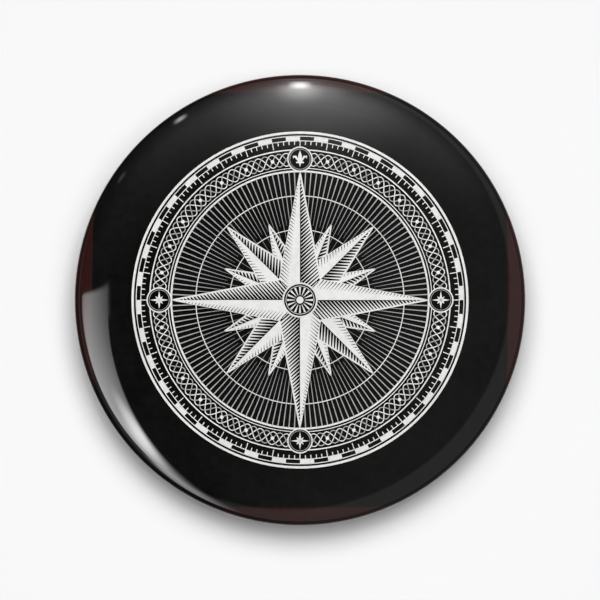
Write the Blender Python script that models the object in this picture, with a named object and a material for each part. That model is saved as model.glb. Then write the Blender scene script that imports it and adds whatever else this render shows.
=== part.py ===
"""A 58 mm pin-back button badge, modelled as it is worn.

Metres, +Z up. The face looks along -Y and the pin lies behind it, on the +Y side. The origin is the
centre of the plane in which the hem at the back touches the cloth.

The pieces are drawn face up: x to the right of someone looking at the face, y up the face, and z, called
height below, from the hem plane towards the viewer. One empty then stands the badge upright.
"""

import math

import bmesh
import bpy
from mathutils import Vector

MM = 0.001

# Outline of the wrapped front, measured on the outside of the film
BADGE_DIAMETER = 58.0 * MM
CROWN_SLOPE = 6.0  # degrees, where the crown meets the shoulder
SHOULDER_RADIUS = 16.8 * MM
SHOULDER_SLOPE = 17.0  # degrees, where the shoulder meets the edge
EDGE_RADIUS = 1.7 * MM
SKIRT_LENGTH = 0.6 * MM  # the straight part of the side
HEM_RADIUS = 1.4 * MM  # the roll at the back of the side
HEM_WIDTH = 3.1 * MM  # from the side to the bore where film and paper tuck in
TUCK_RADIUS = 0.7 * MM
TUCK_HEIGHT = 1.5 * MM

# Sheets, from the outside in
FILM_THICKNESS = 0.10 * MM
PAPER_THICKNESS = 0.12 * MM
SHELL_THICKNESS = 0.28 * MM
PLATE_THICKNESS = 0.28 * MM
LAYER_GAP = 0.04 * MM

# Pressed back plate
SEAT_GAP = 0.06 * MM  # between the plate and the tucked film
FLANGE_CLEARANCE = 0.5 * MM  # from the flange's edge to the shell
BEAD_SETBACK = 0.5 * MM  # how far the bead stays inside the hem plane
BEAD_WIDTH = 3.7 * MM
BEAD_SLOPE = 1.4 * MM
BEAD_FILLET = 0.55 * MM
FLANGE_FILLET = 0.35 * MM
RECESS_DEPTH = 2.2 * MM  # of the plate's floor below the hem plane
GROOVE_INSET = 6.8 * MM  # of the stiffening groove from the hinge axis
GROOVE_WIDTH = 2.2 * MM
GROOVE_DEPTH = 0.3 * MM
GROOVE_SIDE = 0.6 * MM

# Bridge, lanced out of the plate, in which the pin turns
HINGE_INSET = 4.2 * MM  # of the hinge axis from the recess edge
STRAP_WIDTH = 3.4 * MM
STRAP_FLARE = 0.3 * MM
LANCE_SLIT = 0.2 * MM
RUN_CLEARANCE = 0.06 * MM

# Catch, lanced out of the plate, which holds the pin's point
CATCH_INSET = 4.2 * MM  # of the catch from the recess edge
CATCH_CHEEK = 1.1 * MM  # material beside the notch
CATCH_CORNER = 0.45 * MM
CATCH_ROOT = 0.3 * MM
NOTCH_CLEARANCE = 0.15 * MM
NOTCH_POCKET = 1.3 * MM  # how far the pin slips sideways to lock
LIP_HEIGHT = 0.75 * MM
WINDOW_LEDGE = 0.15 * MM

# Pin
WIRE_DIAMETER = 0.9 * MM
PIN_BEND_RADIUS = 1.2 * MM
END_CLEARANCE = 0.3 * MM  # from the bridge to the bends beside it
TAIL_LENGTH = 5.8 * MM
CLOTH_GAP = 2.25 * MM  # between the floor and the bowed part of the pin
CATCH_GAP = 0.7 * MM  # between the floor and the pin at the catch
BOW_RUN = 8.2 * MM  # along the badge, over which the pin leaves the floor
BOW_RADIUS = 4.0 * MM
TIP_OVERHANG = 3.6 * MM  # past the catch
POINT_LENGTH = 2.8 * MM
POINT_RADIUS = 0.06 * MM

# How finely round stretches are cut
TURN_STEPS = 48
CROWN_STEPS = 3
SHOULDER_STEPS = 3
EDGE_STEPS = 4
HEM_STEPS = 3
TUCK_STEPS = 2
PRESS_STEPS = 2
BEND_STEPS = 5
WIRE_ROUNDING = 4
MERGE_DISTANCE = 0.000001

# Places that follow from the sizes above
RIM_RADIUS = BADGE_DIAMETER / 2
TUCK_BORE = RIM_RADIUS - HEM_WIDTH
SKIRT_TOP = HEM_RADIUS + SKIRT_LENGTH
PAPER_OFFSET = FILM_THICKNESS + LAYER_GAP
SHELL_OFFSET = PAPER_OFFSET + PAPER_THICKNESS + LAYER_GAP
SHELL_INSIDE = SHELL_OFFSET + SHELL_THICKNESS
BEAD_RADIUS = TUCK_BORE - SEAT_GAP
FLANGE_HEIGHT = TUCK_HEIGHT + FLANGE_FILLET  # so that the fillet clears the tucked film
FLANGE_RADIUS = RIM_RADIUS - SHELL_INSIDE - FLANGE_CLEARANCE
CREST_RADIUS = BEAD_RADIUS - BEAD_WIDTH
RECESS_RADIUS = CREST_RADIUS - BEAD_SLOPE
WIRE_RADIUS = WIRE_DIAMETER / 2
HINGE_X = HINGE_INSET - RECESS_RADIUS
HINGE_HEIGHT = RECESS_DEPTH - RUN_CLEARANCE - WIRE_RADIUS
HINGE_SPAN = STRAP_WIDTH + 2 * END_CLEARANCE + 2 * PIN_BEND_RADIUS
HINGE_Y = -HINGE_SPAN / 2
GROOVE_RADIUS = -HINGE_X - GROOVE_INSET
TUNNEL_RADIUS = WIRE_RADIUS + RUN_CLEARANCE
STRAP_RADIUS = TUNNEL_RADIUS + PLATE_THICKNESS
CATCH_X = RECESS_RADIUS - CATCH_INSET
CATCH_HEIGHT = RECESS_DEPTH - CATCH_GAP - WIRE_RADIUS
BOW_HEIGHT = RECESS_DEPTH - CLOTH_GAP - WIRE_RADIUS
NOTCH_HALF = WIRE_RADIUS + NOTCH_CLEARANCE
CATCH_TOP = CATCH_HEIGHT - NOTCH_HALF - LIP_HEIGHT


def remove_everything():
    """Empties the scene that the script is run in."""
    for thing in list(bpy.data.objects):
        bpy.data.objects.remove(thing, do_unlink=True)


def make_material(name, colour, metallic, roughness, alpha=1.0):
    """A Principled material with plain values."""
    material = bpy.data.materials.new(name)
    material.use_nodes = True
    shader = material.node_tree.nodes["Principled BSDF"]
    shader.inputs["Base Color"].default_value = (*colour, 1.0)
    shader.inputs["Metallic"].default_value = metallic
    shader.inputs["Roughness"].default_value = roughness
    shader.inputs["Alpha"].default_value = alpha
    return material


def add_object(name, data, parent):
    """Links an object under the empty that stands the badge upright."""
    thing = bpy.data.objects.new(name, data)
    thing.parent = parent
    bpy.context.scene.collection.objects.link(thing)
    return thing


def make_guide(thing):
    """Marks an object that only shapes another one."""
    thing.hide_render = True
    thing.display_type = "WIRE"
    return thing


def arc(centre, radius, start, end, steps):
    """Points of a round stretch in the radius and height plane, with angles in degrees."""
    angles = [math.radians(start + (end - start) * i / steps) for i in range(steps + 1)]
    return [(centre[0] + radius * math.cos(a), centre[1] + radius * math.sin(a)) for a in angles]


def rounded_path(corners, radii, steps):
    """A polyline through corners, with each inner corner turned by its radius."""
    corners = [Vector(c) for c in corners]
    path = [corners[0]]
    for before, corner, after, radius in zip(corners, corners[1:], corners[2:], radii):
        back = (before - corner).normalized()
        ahead = (after - corner).normalized()
        half = back.angle(ahead) / 2
        centre = corner + (back + ahead).normalized() * (radius / math.sin(half))
        reach = radius / math.tan(half)
        first = corner + back * reach - centre
        last = corner + ahead * reach - centre
        sweep = math.pi - 2 * half
        for i in range(steps + 1):
            turn = sweep * i / steps
            mixed = first * math.sin(sweep - turn) + last * math.sin(turn)
            path.append(centre + mixed / math.sin(sweep))
    path.append(corners[-1])
    return path


def inner_centre(centre, radius, next_radius, slope):
    """Centre of the arc that goes on from another one where their common slope is this many degrees."""
    angle = math.radians(90 - slope)
    step = next_radius - radius
    return (centre[0] - step * math.cos(angle), centre[1] - step * math.sin(angle))


def wrap_profile(offset, tucked):
    """Half section of a layer that lies this far inside the badge's outline, from the crown to its end.

    A tucked layer turns round the hem and up inside. The shell's lip ends before that turn.
    """
    edge = (RIM_RADIUS - EDGE_RADIUS, SKIRT_TOP)
    shoulder = inner_centre(edge, EDGE_RADIUS, SHOULDER_RADIUS, SHOULDER_SLOPE)
    crown_radius = SHOULDER_RADIUS + shoulder[0] / math.sin(math.radians(CROWN_SLOPE))
    crown = inner_centre(shoulder, SHOULDER_RADIUS, crown_radius, CROWN_SLOPE)
    hem = (RIM_RADIUS - HEM_RADIUS, HEM_RADIUS)
    tuck = (TUCK_BORE + TUCK_RADIUS, TUCK_RADIUS)
    points = arc(crown, crown_radius - offset, 90, 90 - CROWN_SLOPE, CROWN_STEPS)
    points[0] = (0.0, points[0][1])
    slopes = (90 - CROWN_SLOPE, 90 - SHOULDER_SLOPE)
    points += arc(shoulder, SHOULDER_RADIUS - offset, *slopes, SHOULDER_STEPS)[1:]
    points += arc(edge, EDGE_RADIUS - offset, slopes[1], 0, EDGE_STEPS)[1:]
    points += arc(hem, HEM_RADIUS - offset, 0, -90, HEM_STEPS)
    if tucked:
        points += arc(tuck, TUCK_RADIUS - offset, -90, -180, TUCK_STEPS)
        points.append((TUCK_BORE + offset, TUCK_HEIGHT))
    else:
        points.append((tuck[0], offset))
    return points


def plate_profile():
    """Half section of the plate's back surface, from its middle to the flange's edge."""
    groove_in = GROOVE_RADIUS - GROOVE_WIDTH / 2
    groove_out = GROOVE_RADIUS + GROOVE_WIDTH / 2
    groove_floor = RECESS_DEPTH + GROOVE_DEPTH
    groove = [
        (groove_in, RECESS_DEPTH),
        (groove_in + GROOVE_SIDE, groove_floor),
        (groove_out - GROOVE_SIDE, groove_floor),
    ]
    rim = [
        (groove_out, RECESS_DEPTH),
        (RECESS_RADIUS, RECESS_DEPTH),
        (CREST_RADIUS, BEAD_SETBACK),
        (BEAD_RADIUS, BEAD_SETBACK),
        (BEAD_RADIUS, FLANGE_HEIGHT),
        (FLANGE_RADIUS, FLANGE_HEIGHT),
    ]
    fillets = [BEAD_FILLET, BEAD_FILLET, BEAD_FILLET, FLANGE_FILLET]
    formed = [tuple(p) for p in rounded_path(rim, fillets, PRESS_STEPS)]
    return [(0.0, RECESS_DEPTH)] + groove + formed


def sheet(name, profile, thickness, side, material, parent):
    """A pressed or drawn sheet: a profile turned round the badge's axis, then given its thickness.

    side is -1 where the sheet fills the inside of its profile, and 1 where it lies on the outside.
    """
    mesh = bpy.data.meshes.new(name)
    points = [(radius, 0.0, height) for radius, height in profile]
    edges = [(i, i + 1) for i in range(len(points) - 1)]
    mesh.from_pydata(points, edges, [])
    mesh.materials.append(material)
    thing = add_object(name, mesh, parent)
    screw = thing.modifiers.new("turn", "SCREW")
    screw.axis = "Z"
    screw.steps = TURN_STEPS
    screw.render_steps = TURN_STEPS
    screw.use_merge_vertices = True
    screw.merge_threshold = MERGE_DISTANCE
    screw.use_smooth_shade = True
    solidify = thing.modifiers.new("thickness", "SOLIDIFY")
    solidify.thickness = thickness
    solidify.offset = side
    solidify.use_even_offset = True
    return thing


def prism(name, outline, direction, parent):
    """A guide solid: a flat outline, as points, drawn out along a direction."""
    mesh = bpy.data.meshes.new(name)
    shape = bmesh.new()
    face = shape.faces.new([shape.verts.new(p) for p in outline])
    grown = bmesh.ops.extrude_face_region(shape, geom=[face])["geom"]
    moved = [g for g in grown if isinstance(g, bmesh.types.BMVert)]
    bmesh.ops.translate(shape, verts=moved, vec=direction)
    bmesh.ops.recalc_face_normals(shape, faces=shape.faces)
    shape.to_mesh(mesh)
    shape.free()
    return make_guide(add_object(name, mesh, parent))


def combine(thing, other, operation):
    """Adds one Boolean to an object."""
    step = thing.modifiers.new(other.name, "BOOLEAN")
    step.object = other
    step.operation = operation
    step.solver = "EXACT"


def arch_outline(radius, foot_height, flare):
    """Outline of an arch over the hinge axis, as (x, height) from one foot to the other."""
    crest = HINGE_HEIGHT - radius
    corners = [(-radius, foot_height), (-radius, crest), (radius, crest), (radius, foot_height)]
    radii = [radius, radius]
    if flare:
        corners[0] = (-radius, RECESS_DEPTH)
        corners[-1] = (radius, RECESS_DEPTH)
        corners.insert(0, (-radius - 2 * flare, RECESS_DEPTH))
        corners.append((radius + 2 * flare, RECESS_DEPTH))
        radii = [flare, radius, radius, flare]
    path = [tuple(p) for p in rounded_path(corners, radii, BEND_STEPS)]
    if flare:
        path = path[1:-1]
        path.insert(0, (path[0][0], foot_height))
        path.append((path[-1][0], foot_height))
    return path


def add_bridge(plate, parent):
    """Presses the hinge bridge out of the plate and opens the tunnel that the pin turns in."""
    middle = RECESS_DEPTH + PLATE_THICKNESS / 2
    through = RECESS_DEPTH + 2 * PLATE_THICKNESS
    low = HINGE_Y - STRAP_WIDTH / 2
    strap = [(HINGE_X + x, low, h) for x, h in arch_outline(STRAP_RADIUS, middle, STRAP_FLARE)]
    length = Vector((0, STRAP_WIDTH, 0))
    combine(plate, prism("bridge_strap", strap, length, parent), "UNION")
    low -= LANCE_SLIT
    tunnel = [(HINGE_X + x, low, h) for x, h in arch_outline(TUNNEL_RADIUS, through, 0.0)]
    length = Vector((0, STRAP_WIDTH + 2 * LANCE_SLIT, 0))
    combine(plate, prism("bridge_tunnel", tunnel, length, parent), "DIFFERENCE")


def catch_outline(foot_height):
    """Outline of the catch as (y, height), with the L-shaped notch that the pin drops into."""
    pocket = -NOTCH_HALF - NOTCH_POCKET
    low_side = pocket - CATCH_CHEEK
    high_side = NOTCH_HALF + CATCH_CHEEK
    roof = CATCH_HEIGHT - NOTCH_HALF
    floor = CATCH_HEIGHT + NOTCH_HALF
    corners = [
        (low_side, foot_height),
        (low_side, CATCH_TOP),
        (-NOTCH_HALF, CATCH_TOP),
        (-NOTCH_HALF, roof),
        (pocket, roof),
        (pocket, floor),
        (NOTCH_HALF, floor),
        (NOTCH_HALF, CATCH_TOP),
        (high_side, CATCH_TOP),
        (high_side, foot_height),
    ]
    lead_in = [NOTCH_CLEARANCE] * 2
    rounding = [CATCH_CORNER] + lead_in + [CATCH_CORNER] * 3 + [NOTCH_CLEARANCE, CATCH_CORNER]
    return [tuple(p) for p in rounded_path(corners, rounding, PRESS_STEPS)]


def add_catch(plate, parent):
    """Bends the catch up out of the plate, with the window that it leaves beside it."""
    middle = RECESS_DEPTH + PLATE_THICKNESS / 2
    outline = catch_outline(middle)
    low_side = outline[0][0]
    high_side = outline[-1][0]
    back_face = CATCH_X + PLATE_THICKNESS
    tab = [(CATCH_X, y, h) for y, h in outline]
    combine(plate, prism("catch_tab", tab, Vector((PLATE_THICKNESS, 0, 0)), parent), "UNION")

    inside = CATCH_X + PLATE_THICKNESS / 2
    bend = [(CATCH_X - 2 * CATCH_ROOT, RECESS_DEPTH), (CATCH_X, RECESS_DEPTH), (CATCH_X, CATCH_HEIGHT)]
    curve = [tuple(p) for p in rounded_path(bend, [CATCH_ROOT], BEND_STEPS)][1:-1]
    side = [(curve[0][0], middle)] + curve + [(inside, curve[-1][1]), (inside, middle)]
    root = [(x, low_side + CATCH_ROOT, h) for x, h in side]
    length = Vector((0, high_side - low_side - 2 * CATCH_ROOT, 0))
    combine(plate, prism("catch_root", root, length, parent), "UNION")

    start = back_face + WINDOW_LEDGE
    end = start + RECESS_DEPTH - CATCH_TOP
    above = RECESS_DEPTH - PLATE_THICKNESS
    window = [(start, low_side), (end, low_side), (end, high_side), (start, high_side)]
    window = [(x, y, above) for x, y in window]
    depth = Vector((0, 0, 3 * PLATE_THICKNESS))
    combine(plate, prism("catch_window", window, depth, parent), "DIFFERENCE")


def pin_path():
    """The wire's centre line from its tail to its point, seen from the hinge's middle."""
    leg_y = HINGE_SPAN / 2
    bow = BOW_HEIGHT - HINGE_HEIGHT
    seat = CATCH_HEIGHT - HINGE_HEIGHT
    catch = CATCH_X - HINGE_X
    start = PIN_BEND_RADIUS + BOW_RADIUS / 2
    corners = [
        (TAIL_LENGTH, -leg_y, 0.0),
        (0.0, -leg_y, 0.0),
        (0.0, leg_y, 0.0),
        (start, leg_y, 0.0),
        (start + BOW_RUN, leg_y, bow),
        (catch - BOW_RUN, leg_y, bow),
        (catch - WIRE_DIAMETER, leg_y, seat),
        (catch + TIP_OVERHANG - POINT_LENGTH, leg_y, seat),
    ]
    radii = [PIN_BEND_RADIUS] * 2 + [BOW_RADIUS] * 4
    return rounded_path(corners, radii, BEND_STEPS), Vector((catch + TIP_OVERHANG, leg_y, seat))


def build_pin(material, parent):
    """The bent spring wire with its ground point. Its origin is on the hinge axis."""
    path, point = pin_path()
    curve = bpy.data.curves.new("pin_wire", "CURVE")
    curve.dimensions = "3D"
    curve.bevel_depth = WIRE_RADIUS
    curve.bevel_resolution = WIRE_ROUNDING
    curve.use_fill_caps = True
    curve.materials.append(material)
    spline = curve.splines.new("POLY")
    spline.points.add(len(path))
    for place, spot in zip(spline.points, path + [point]):
        place.co = (*spot, 1.0)
        place.radius = 1.0
    spline.points[-1].radius = POINT_RADIUS / WIRE_RADIUS
    pin = add_object("pin_wire", curve, parent)
    pin.location = (HINGE_X, HINGE_Y, HINGE_HEIGHT)
    return pin


def build_plate(material, parent):
    """The pressed back plate with its bridge and its catch."""
    plate = sheet("back_plate", plate_profile(), PLATE_THICKNESS, 1, material, parent)
    add_bridge(plate, parent)
    add_catch(plate, parent)
    return plate


def main():
    """Builds the five pieces."""
    remove_everything()
    upright = bpy.data.objects.new("badge_upright", None)
    upright.rotation_euler = (math.pi / 2, 0.0, 0.0)
    bpy.context.scene.collection.objects.link(upright)

    tinplate = make_material("tinplate_front", (0.62, 0.63, 0.65), 1.0, 0.3)
    paper = make_material("printed_paper", (0.012, 0.011, 0.012), 0.0, 0.55)
    film = make_material("polyester_film", (0.05, 0.05, 0.05), 0.0, 0.05, alpha=0.2)
    backing = make_material("tinplate_back", (0.66, 0.67, 0.69), 1.0, 0.32)
    steel = make_material("spring_steel", (0.58, 0.59, 0.61), 1.0, 0.22)

    sheet("front_shell", wrap_profile(SHELL_OFFSET, False), SHELL_THICKNESS, -1, tinplate, upright)
    sheet("printed_disc", wrap_profile(PAPER_OFFSET, True), PAPER_THICKNESS, -1, paper, upright)
    sheet("clear_film", wrap_profile(0.0, True), FILM_THICKNESS, -1, film, upright)
    build_plate(backing, upright)
    build_pin(steel, upright)


main()
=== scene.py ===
"""Looks of a 58 mm pin-back button badge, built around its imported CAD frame.

Metres, +Z up, in the CAD's own frame: the printed face looks along -Y and the pin lies behind it.
Each piece is drawn face up, with x to the right, y up the face and height from the hem plane
towards the viewer. `stand` puts such a place into the frame.
"""

import logging
import math
from dataclasses import dataclass, field
from enum import Enum

import bmesh
import bpy
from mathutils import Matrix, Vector, noise


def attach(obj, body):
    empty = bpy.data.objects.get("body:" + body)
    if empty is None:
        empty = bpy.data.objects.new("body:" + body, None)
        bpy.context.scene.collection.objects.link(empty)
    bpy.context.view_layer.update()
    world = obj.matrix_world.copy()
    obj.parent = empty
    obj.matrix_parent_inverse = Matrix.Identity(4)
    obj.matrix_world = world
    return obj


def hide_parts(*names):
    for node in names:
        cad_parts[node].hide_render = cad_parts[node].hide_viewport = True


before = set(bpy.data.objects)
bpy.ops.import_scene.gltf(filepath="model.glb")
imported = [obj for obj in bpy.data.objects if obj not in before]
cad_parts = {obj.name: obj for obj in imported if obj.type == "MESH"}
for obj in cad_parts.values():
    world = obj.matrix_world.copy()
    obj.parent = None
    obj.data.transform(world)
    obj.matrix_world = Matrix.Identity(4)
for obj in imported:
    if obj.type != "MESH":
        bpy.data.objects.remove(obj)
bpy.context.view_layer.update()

MM = 0.001
LOG = logging.getLogger("button_badge")

Flat = tuple[float, float]
Pair = tuple[float, float]
Triple = tuple[float, float, float]
Colour = tuple[float, float, float]
# What Board.ease takes after its value: low, high, start and end.
Ramp = tuple[float, float, float, float]
Socket = bpy.types.NodeSocket


def stand(x: float, y: float, height: float) -> Vector:
    """Puts a place that was drawn face up into the frame."""
    return Vector((x, -height, y))


def polar(radius: float, degrees: float) -> Flat:
    """A place on the face, from its distance and its angle, counted from +x towards +y."""
    angle = math.radians(degrees)
    return (radius * math.cos(angle), radius * math.sin(angle))


def circle(radius: float, steps: int, centre: Flat = (0.0, 0.0)) -> list[Flat]:
    """Evenly spaced points round a circle."""
    spots = [polar(radius, 360 * i / steps) for i in range(steps)]
    return [(x + centre[0], y + centre[1]) for x, y in spots]


def smooth(low: float, high: float, value: float) -> float:
    """Eases from 0 at low to 1 at high."""
    part = min(1.0, max(0.0, (value - low) / (high - low)))
    return part * part * (3 - 2 * part)


def arc(centre: Flat, radius: float, start: float, end: float, steps: int) -> list[Flat]:
    """Points of a round stretch in the plane of radius and height.

    Args:
        centre: the middle of the arc.
        radius: its radius.
        start: the first angle, in degrees.
        end: the last angle, in degrees.
        steps: how many pieces it is cut into.

    Returns:
        The points from start to end.
    """
    angles = [math.radians(start + (end - start) * i / steps) for i in range(steps + 1)]
    return [(centre[0] + radius * math.cos(a), centre[1] + radius * math.sin(a)) for a in angles]


def line(start: Flat, end: Flat, steps: int) -> list[Flat]:
    """Evenly spaced points from start to end."""
    first, last = Vector(start), Vector(end)
    return [tuple(first.lerp(last, i / steps)) for i in range(steps + 1)]


def taper(first: float, last: float, steps: int) -> list[float]:
    """Evenly spaced values from first to last."""
    return [first + (last - first) * i / steps for i in range(steps + 1)]


def rounded_path(corners: list[tuple[float, ...]], radii: list[float], steps: int) -> list[Vector]:
    """A polyline whose inner corners are turned by a radius each.

    Args:
        corners: the corners, in two or three dimensions.
        radii: the bend radius of each inner corner.
        steps: how many pieces each bend is cut into.

    Returns:
        The points of the rounded line.
    """
    spots = [Vector(c) for c in corners]
    path = [spots[0]]
    for before, corner, after, radius in zip(spots, spots[1:], spots[2:], radii):
        back = (before - corner).normalized()
        ahead = (after - corner).normalized()
        half = back.angle(ahead) / 2
        centre = corner + (back + ahead).normalized() * (radius / math.sin(half))
        reach = radius / math.tan(half)
        first = corner + back * reach - centre
        last = corner + ahead * reach - centre
        sweep = math.pi - 2 * half
        for i in range(steps + 1):
            turn = sweep * i / steps
            mixed = first * math.sin(sweep - turn) + last * math.sin(turn)
            path.append(centre + mixed / math.sin(sweep))
    path.append(spots[-1])
    return path


def rounded_outline(corners: list[Flat], radii: list[float], steps: int) -> list[Flat]:
    """The same in a plane, as plain points."""
    return [tuple(p) for p in rounded_path(corners, radii, steps)]


def link(name: str, data: bpy.types.ID) -> bpy.types.Object:
    """Makes an object and puts it into the scene.

    Args:
        name: its name.
        data: its mesh, lamp or camera.

    Returns:
        The object.
    """
    thing = bpy.data.objects.new(name, data)
    bpy.context.scene.collection.objects.link(thing)
    return thing


def to_mesh(name: str, shape: bmesh.types.BMesh) -> bpy.types.Mesh:
    """Makes a mesh of a finished shape, and frees the shape.

    Args:
        name: the mesh's name.
        shape: the finished shape.

    Returns:
        The mesh.
    """
    mesh = bpy.data.meshes.new(name)
    shape.to_mesh(mesh)
    shape.free()
    return mesh


def soften(mesh: bpy.types.Mesh, sharp_angle: float) -> None:
    """Shades a mesh smooth, apart from edges sharper than this many degrees."""
    mesh.shade_smooth()
    mesh.set_sharp_from_angle(angle=math.radians(sharp_angle))


def report(piece: bpy.types.Object) -> None:
    """Logs a finished piece with its number of faces."""
    LOG.info("%s: %d faces", piece.name, len(piece.data.polygons))


class Ray(Enum):
    """Kinds of rays, by Blender's word for them."""

    CAMERA = "camera"
    DIFFUSE = "diffuse"
    GLOSSY = "glossy"
    TRANSMISSION = "transmission"
    SHADOW = "shadow"


def hide(thing: bpy.types.Object, *rays: Ray) -> None:
    """Makes an object unseen by some kinds of rays."""
    for ray in rays:
        setattr(thing, "visible_" + ray.value, False)


class Op(Enum):
    """What a Math node works out, by Blender's word for it."""

    ADD = "ADD"
    SUBTRACT = "SUBTRACT"
    MULTIPLY = "MULTIPLY"
    DIVIDE = "DIVIDE"
    MAXIMUM = "MAXIMUM"
    MINIMUM = "MINIMUM"
    ABSOLUTE = "ABSOLUTE"
    SQRT = "SQRT"
    ARCTAN2 = "ARCTAN2"
    DEGREES = "DEGREES"
    LESS_THAN = "LESS_THAN"


class Board:
    """Adds shader nodes to one tree and wires them."""

    # A Mix node's sockets for colours lie among those for its other types.
    MIX_INPUTS = (0, 6, 7)
    MIX_RESULT = 2

    def __init__(self, tree: bpy.types.NodeTree) -> None:
        """Takes a tree and clears it."""
        self.tree = tree
        tree.nodes.clear()

    def add(self, kind: str, **settings: object) -> bpy.types.Node:
        """Adds a node.

        Args:
            kind: the node's type, without the ShaderNode in front.
            **settings: properties to set on it.

        Returns:
            The new node.
        """
        node = self.tree.nodes.new("ShaderNode" + kind)
        for name, value in settings.items():
            setattr(node, name, value)
        return node

    def feed(self, socket: Socket, value: object) -> None:
        """Wires another socket into this one, or sets its value.

        Args:
            socket: the socket that is fed.
            value: another socket or a plain value.
        """
        if isinstance(value, Socket):
            self.tree.links.new(value, socket)
        elif socket.type == "RGBA":
            socket.default_value = (*value, 1.0)
        else:
            socket.default_value = value

    def node(self, kind: str, inputs: dict[str, object], **settings: object) -> bpy.types.Node:
        """Adds a node and feeds its inputs.

        Args:
            kind: the node's type, without the ShaderNode in front.
            inputs: values or sockets by input name.
            **settings: properties to set on it.

        Returns:
            The new node.
        """
        node = self.add(kind, **settings)
        for name, value in inputs.items():
            self.feed(node.inputs[name], value)
        return node

    def calc(self, operation: Op, first: object, second: object = 0.0) -> Socket:
        """Adds a Math node.

        Args:
            operation: what it works out.
            first: its first value or socket.
            second: its second one, where it takes two.

        Returns:
            Its result.
        """
        node = self.add("Math", operation=operation.value)
        self.feed(node.inputs[0], first)
        self.feed(node.inputs[1], second)
        return node.outputs[0]

    def total(self, *values: object) -> Socket:
        """Adds up several values or sockets.

        Args:
            *values: what is added up.

        Returns:
            The sum.
        """
        result = values[0]
        for value in values[1:]:
            result = self.calc(Op.ADD, result, value)
        return result

    def product(self, *values: object) -> Socket:
        """Multiplies several values or sockets.

        Args:
            *values: what is multiplied.

        Returns:
            The product.
        """
        result = values[0]
        for value in values[1:]:
            result = self.calc(Op.MULTIPLY, result, value)
        return result

    def apart(self, first: object, second: object) -> Socket:
        """How far two values lie apart."""
        return self.calc(Op.ABSOLUTE, self.calc(Op.SUBTRACT, first, second))

    def ease(
        self, value: object, low: float, high: float, start: float = 0.0, end: float = 1.0
    ) -> Socket:
        """Maps a value smoothly to another range, and holds it outside.

        Args:
            value: the value or socket.
            low: where the change begins.
            high: where it ends.
            start: the result at low.
            end: the result at high.

        Returns:
            The result.
        """
        ends = {"From Min": low, "From Max": high, "To Min": start, "To Max": end}
        node = self.node("MapRange", {"Value": value} | ends, interpolation_type="SMOOTHSTEP")
        return node.outputs["Result"]

    def gap(self, first: Socket, second: Socket, place: Flat) -> Socket:
        """Distance of a place, given by two coordinates, from another one."""
        steps = [self.calc(Op.SUBTRACT, *pair) for pair in zip((first, second), place)]
        return self.calc(Op.SQRT, self.total(*(self.product(step, step) for step in steps)))

    def place(self, output: str = "Object", scale: Triple = (1.0, 1.0, 1.0)) -> Socket:
        """Texture coordinates, stretched along the axes."""
        source = self.add("TexCoord").outputs[output]
        return self.node("Mapping", {"Vector": source, "Scale": scale}).outputs["Vector"]

    def noise(self, place: Socket, scale: float, detail: float = 2.0) -> Socket:
        """A noise value from 0 to 1."""
        inputs = {"Vector": place, "Scale": scale, "Detail": detail}
        return self.node("TexNoise", inputs).outputs[0]

    def blend(self, amount: object, first: object, second: object) -> Socket:
        """Mixes two colours.

        Args:
            amount: the share of the second colour.
            first: the first colour.
            second: the second colour.

        Returns:
            The mixed colour.
        """
        node = self.add("Mix", data_type="RGBA")
        for index, value in zip(self.MIX_INPUTS, (amount, first, second)):
            self.feed(node.inputs[index], value)
        return node.outputs[self.MIX_RESULT]

    def bump(self, height: Socket, strength: float, distance: float) -> Socket:
        """A normal from a height."""
        inputs = {"Height": height, "Strength": strength, "Distance": distance}
        return self.node("Bump", inputs).outputs["Normal"]

    def principled(self, inputs: dict[str, object]) -> Socket:
        """A Principled shader with these inputs."""
        return self.node("BsdfPrincipled", inputs).outputs[0]

    def mix(self, amount: object, first: Socket, second: Socket) -> Socket:
        """Mixes two shaders.

        Args:
            amount: the share of the second shader.
            first: the first shader.
            second: the second shader.

        Returns:
            The mixed shader.
        """
        node = self.add("MixShader")
        for socket, value in zip(node.inputs, (amount, first, second)):
            self.feed(socket, value)
        return node.outputs[0]

    def finish(self, shader: Socket, kind: str = "OutputMaterial") -> None:
        """Wires the last shader to the output."""
        self.tree.links.new(shader, self.add(kind).inputs["Surface"])


def new_material(name: str) -> tuple[bpy.types.Material, Board]:
    """Makes an empty node material.

    Args:
        name: its name.

    Returns:
        The material and the board for its nodes.
    """
    material = bpy.data.materials.new(name)
    material.use_nodes = True
    return material, Board(material.node_tree)


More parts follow.
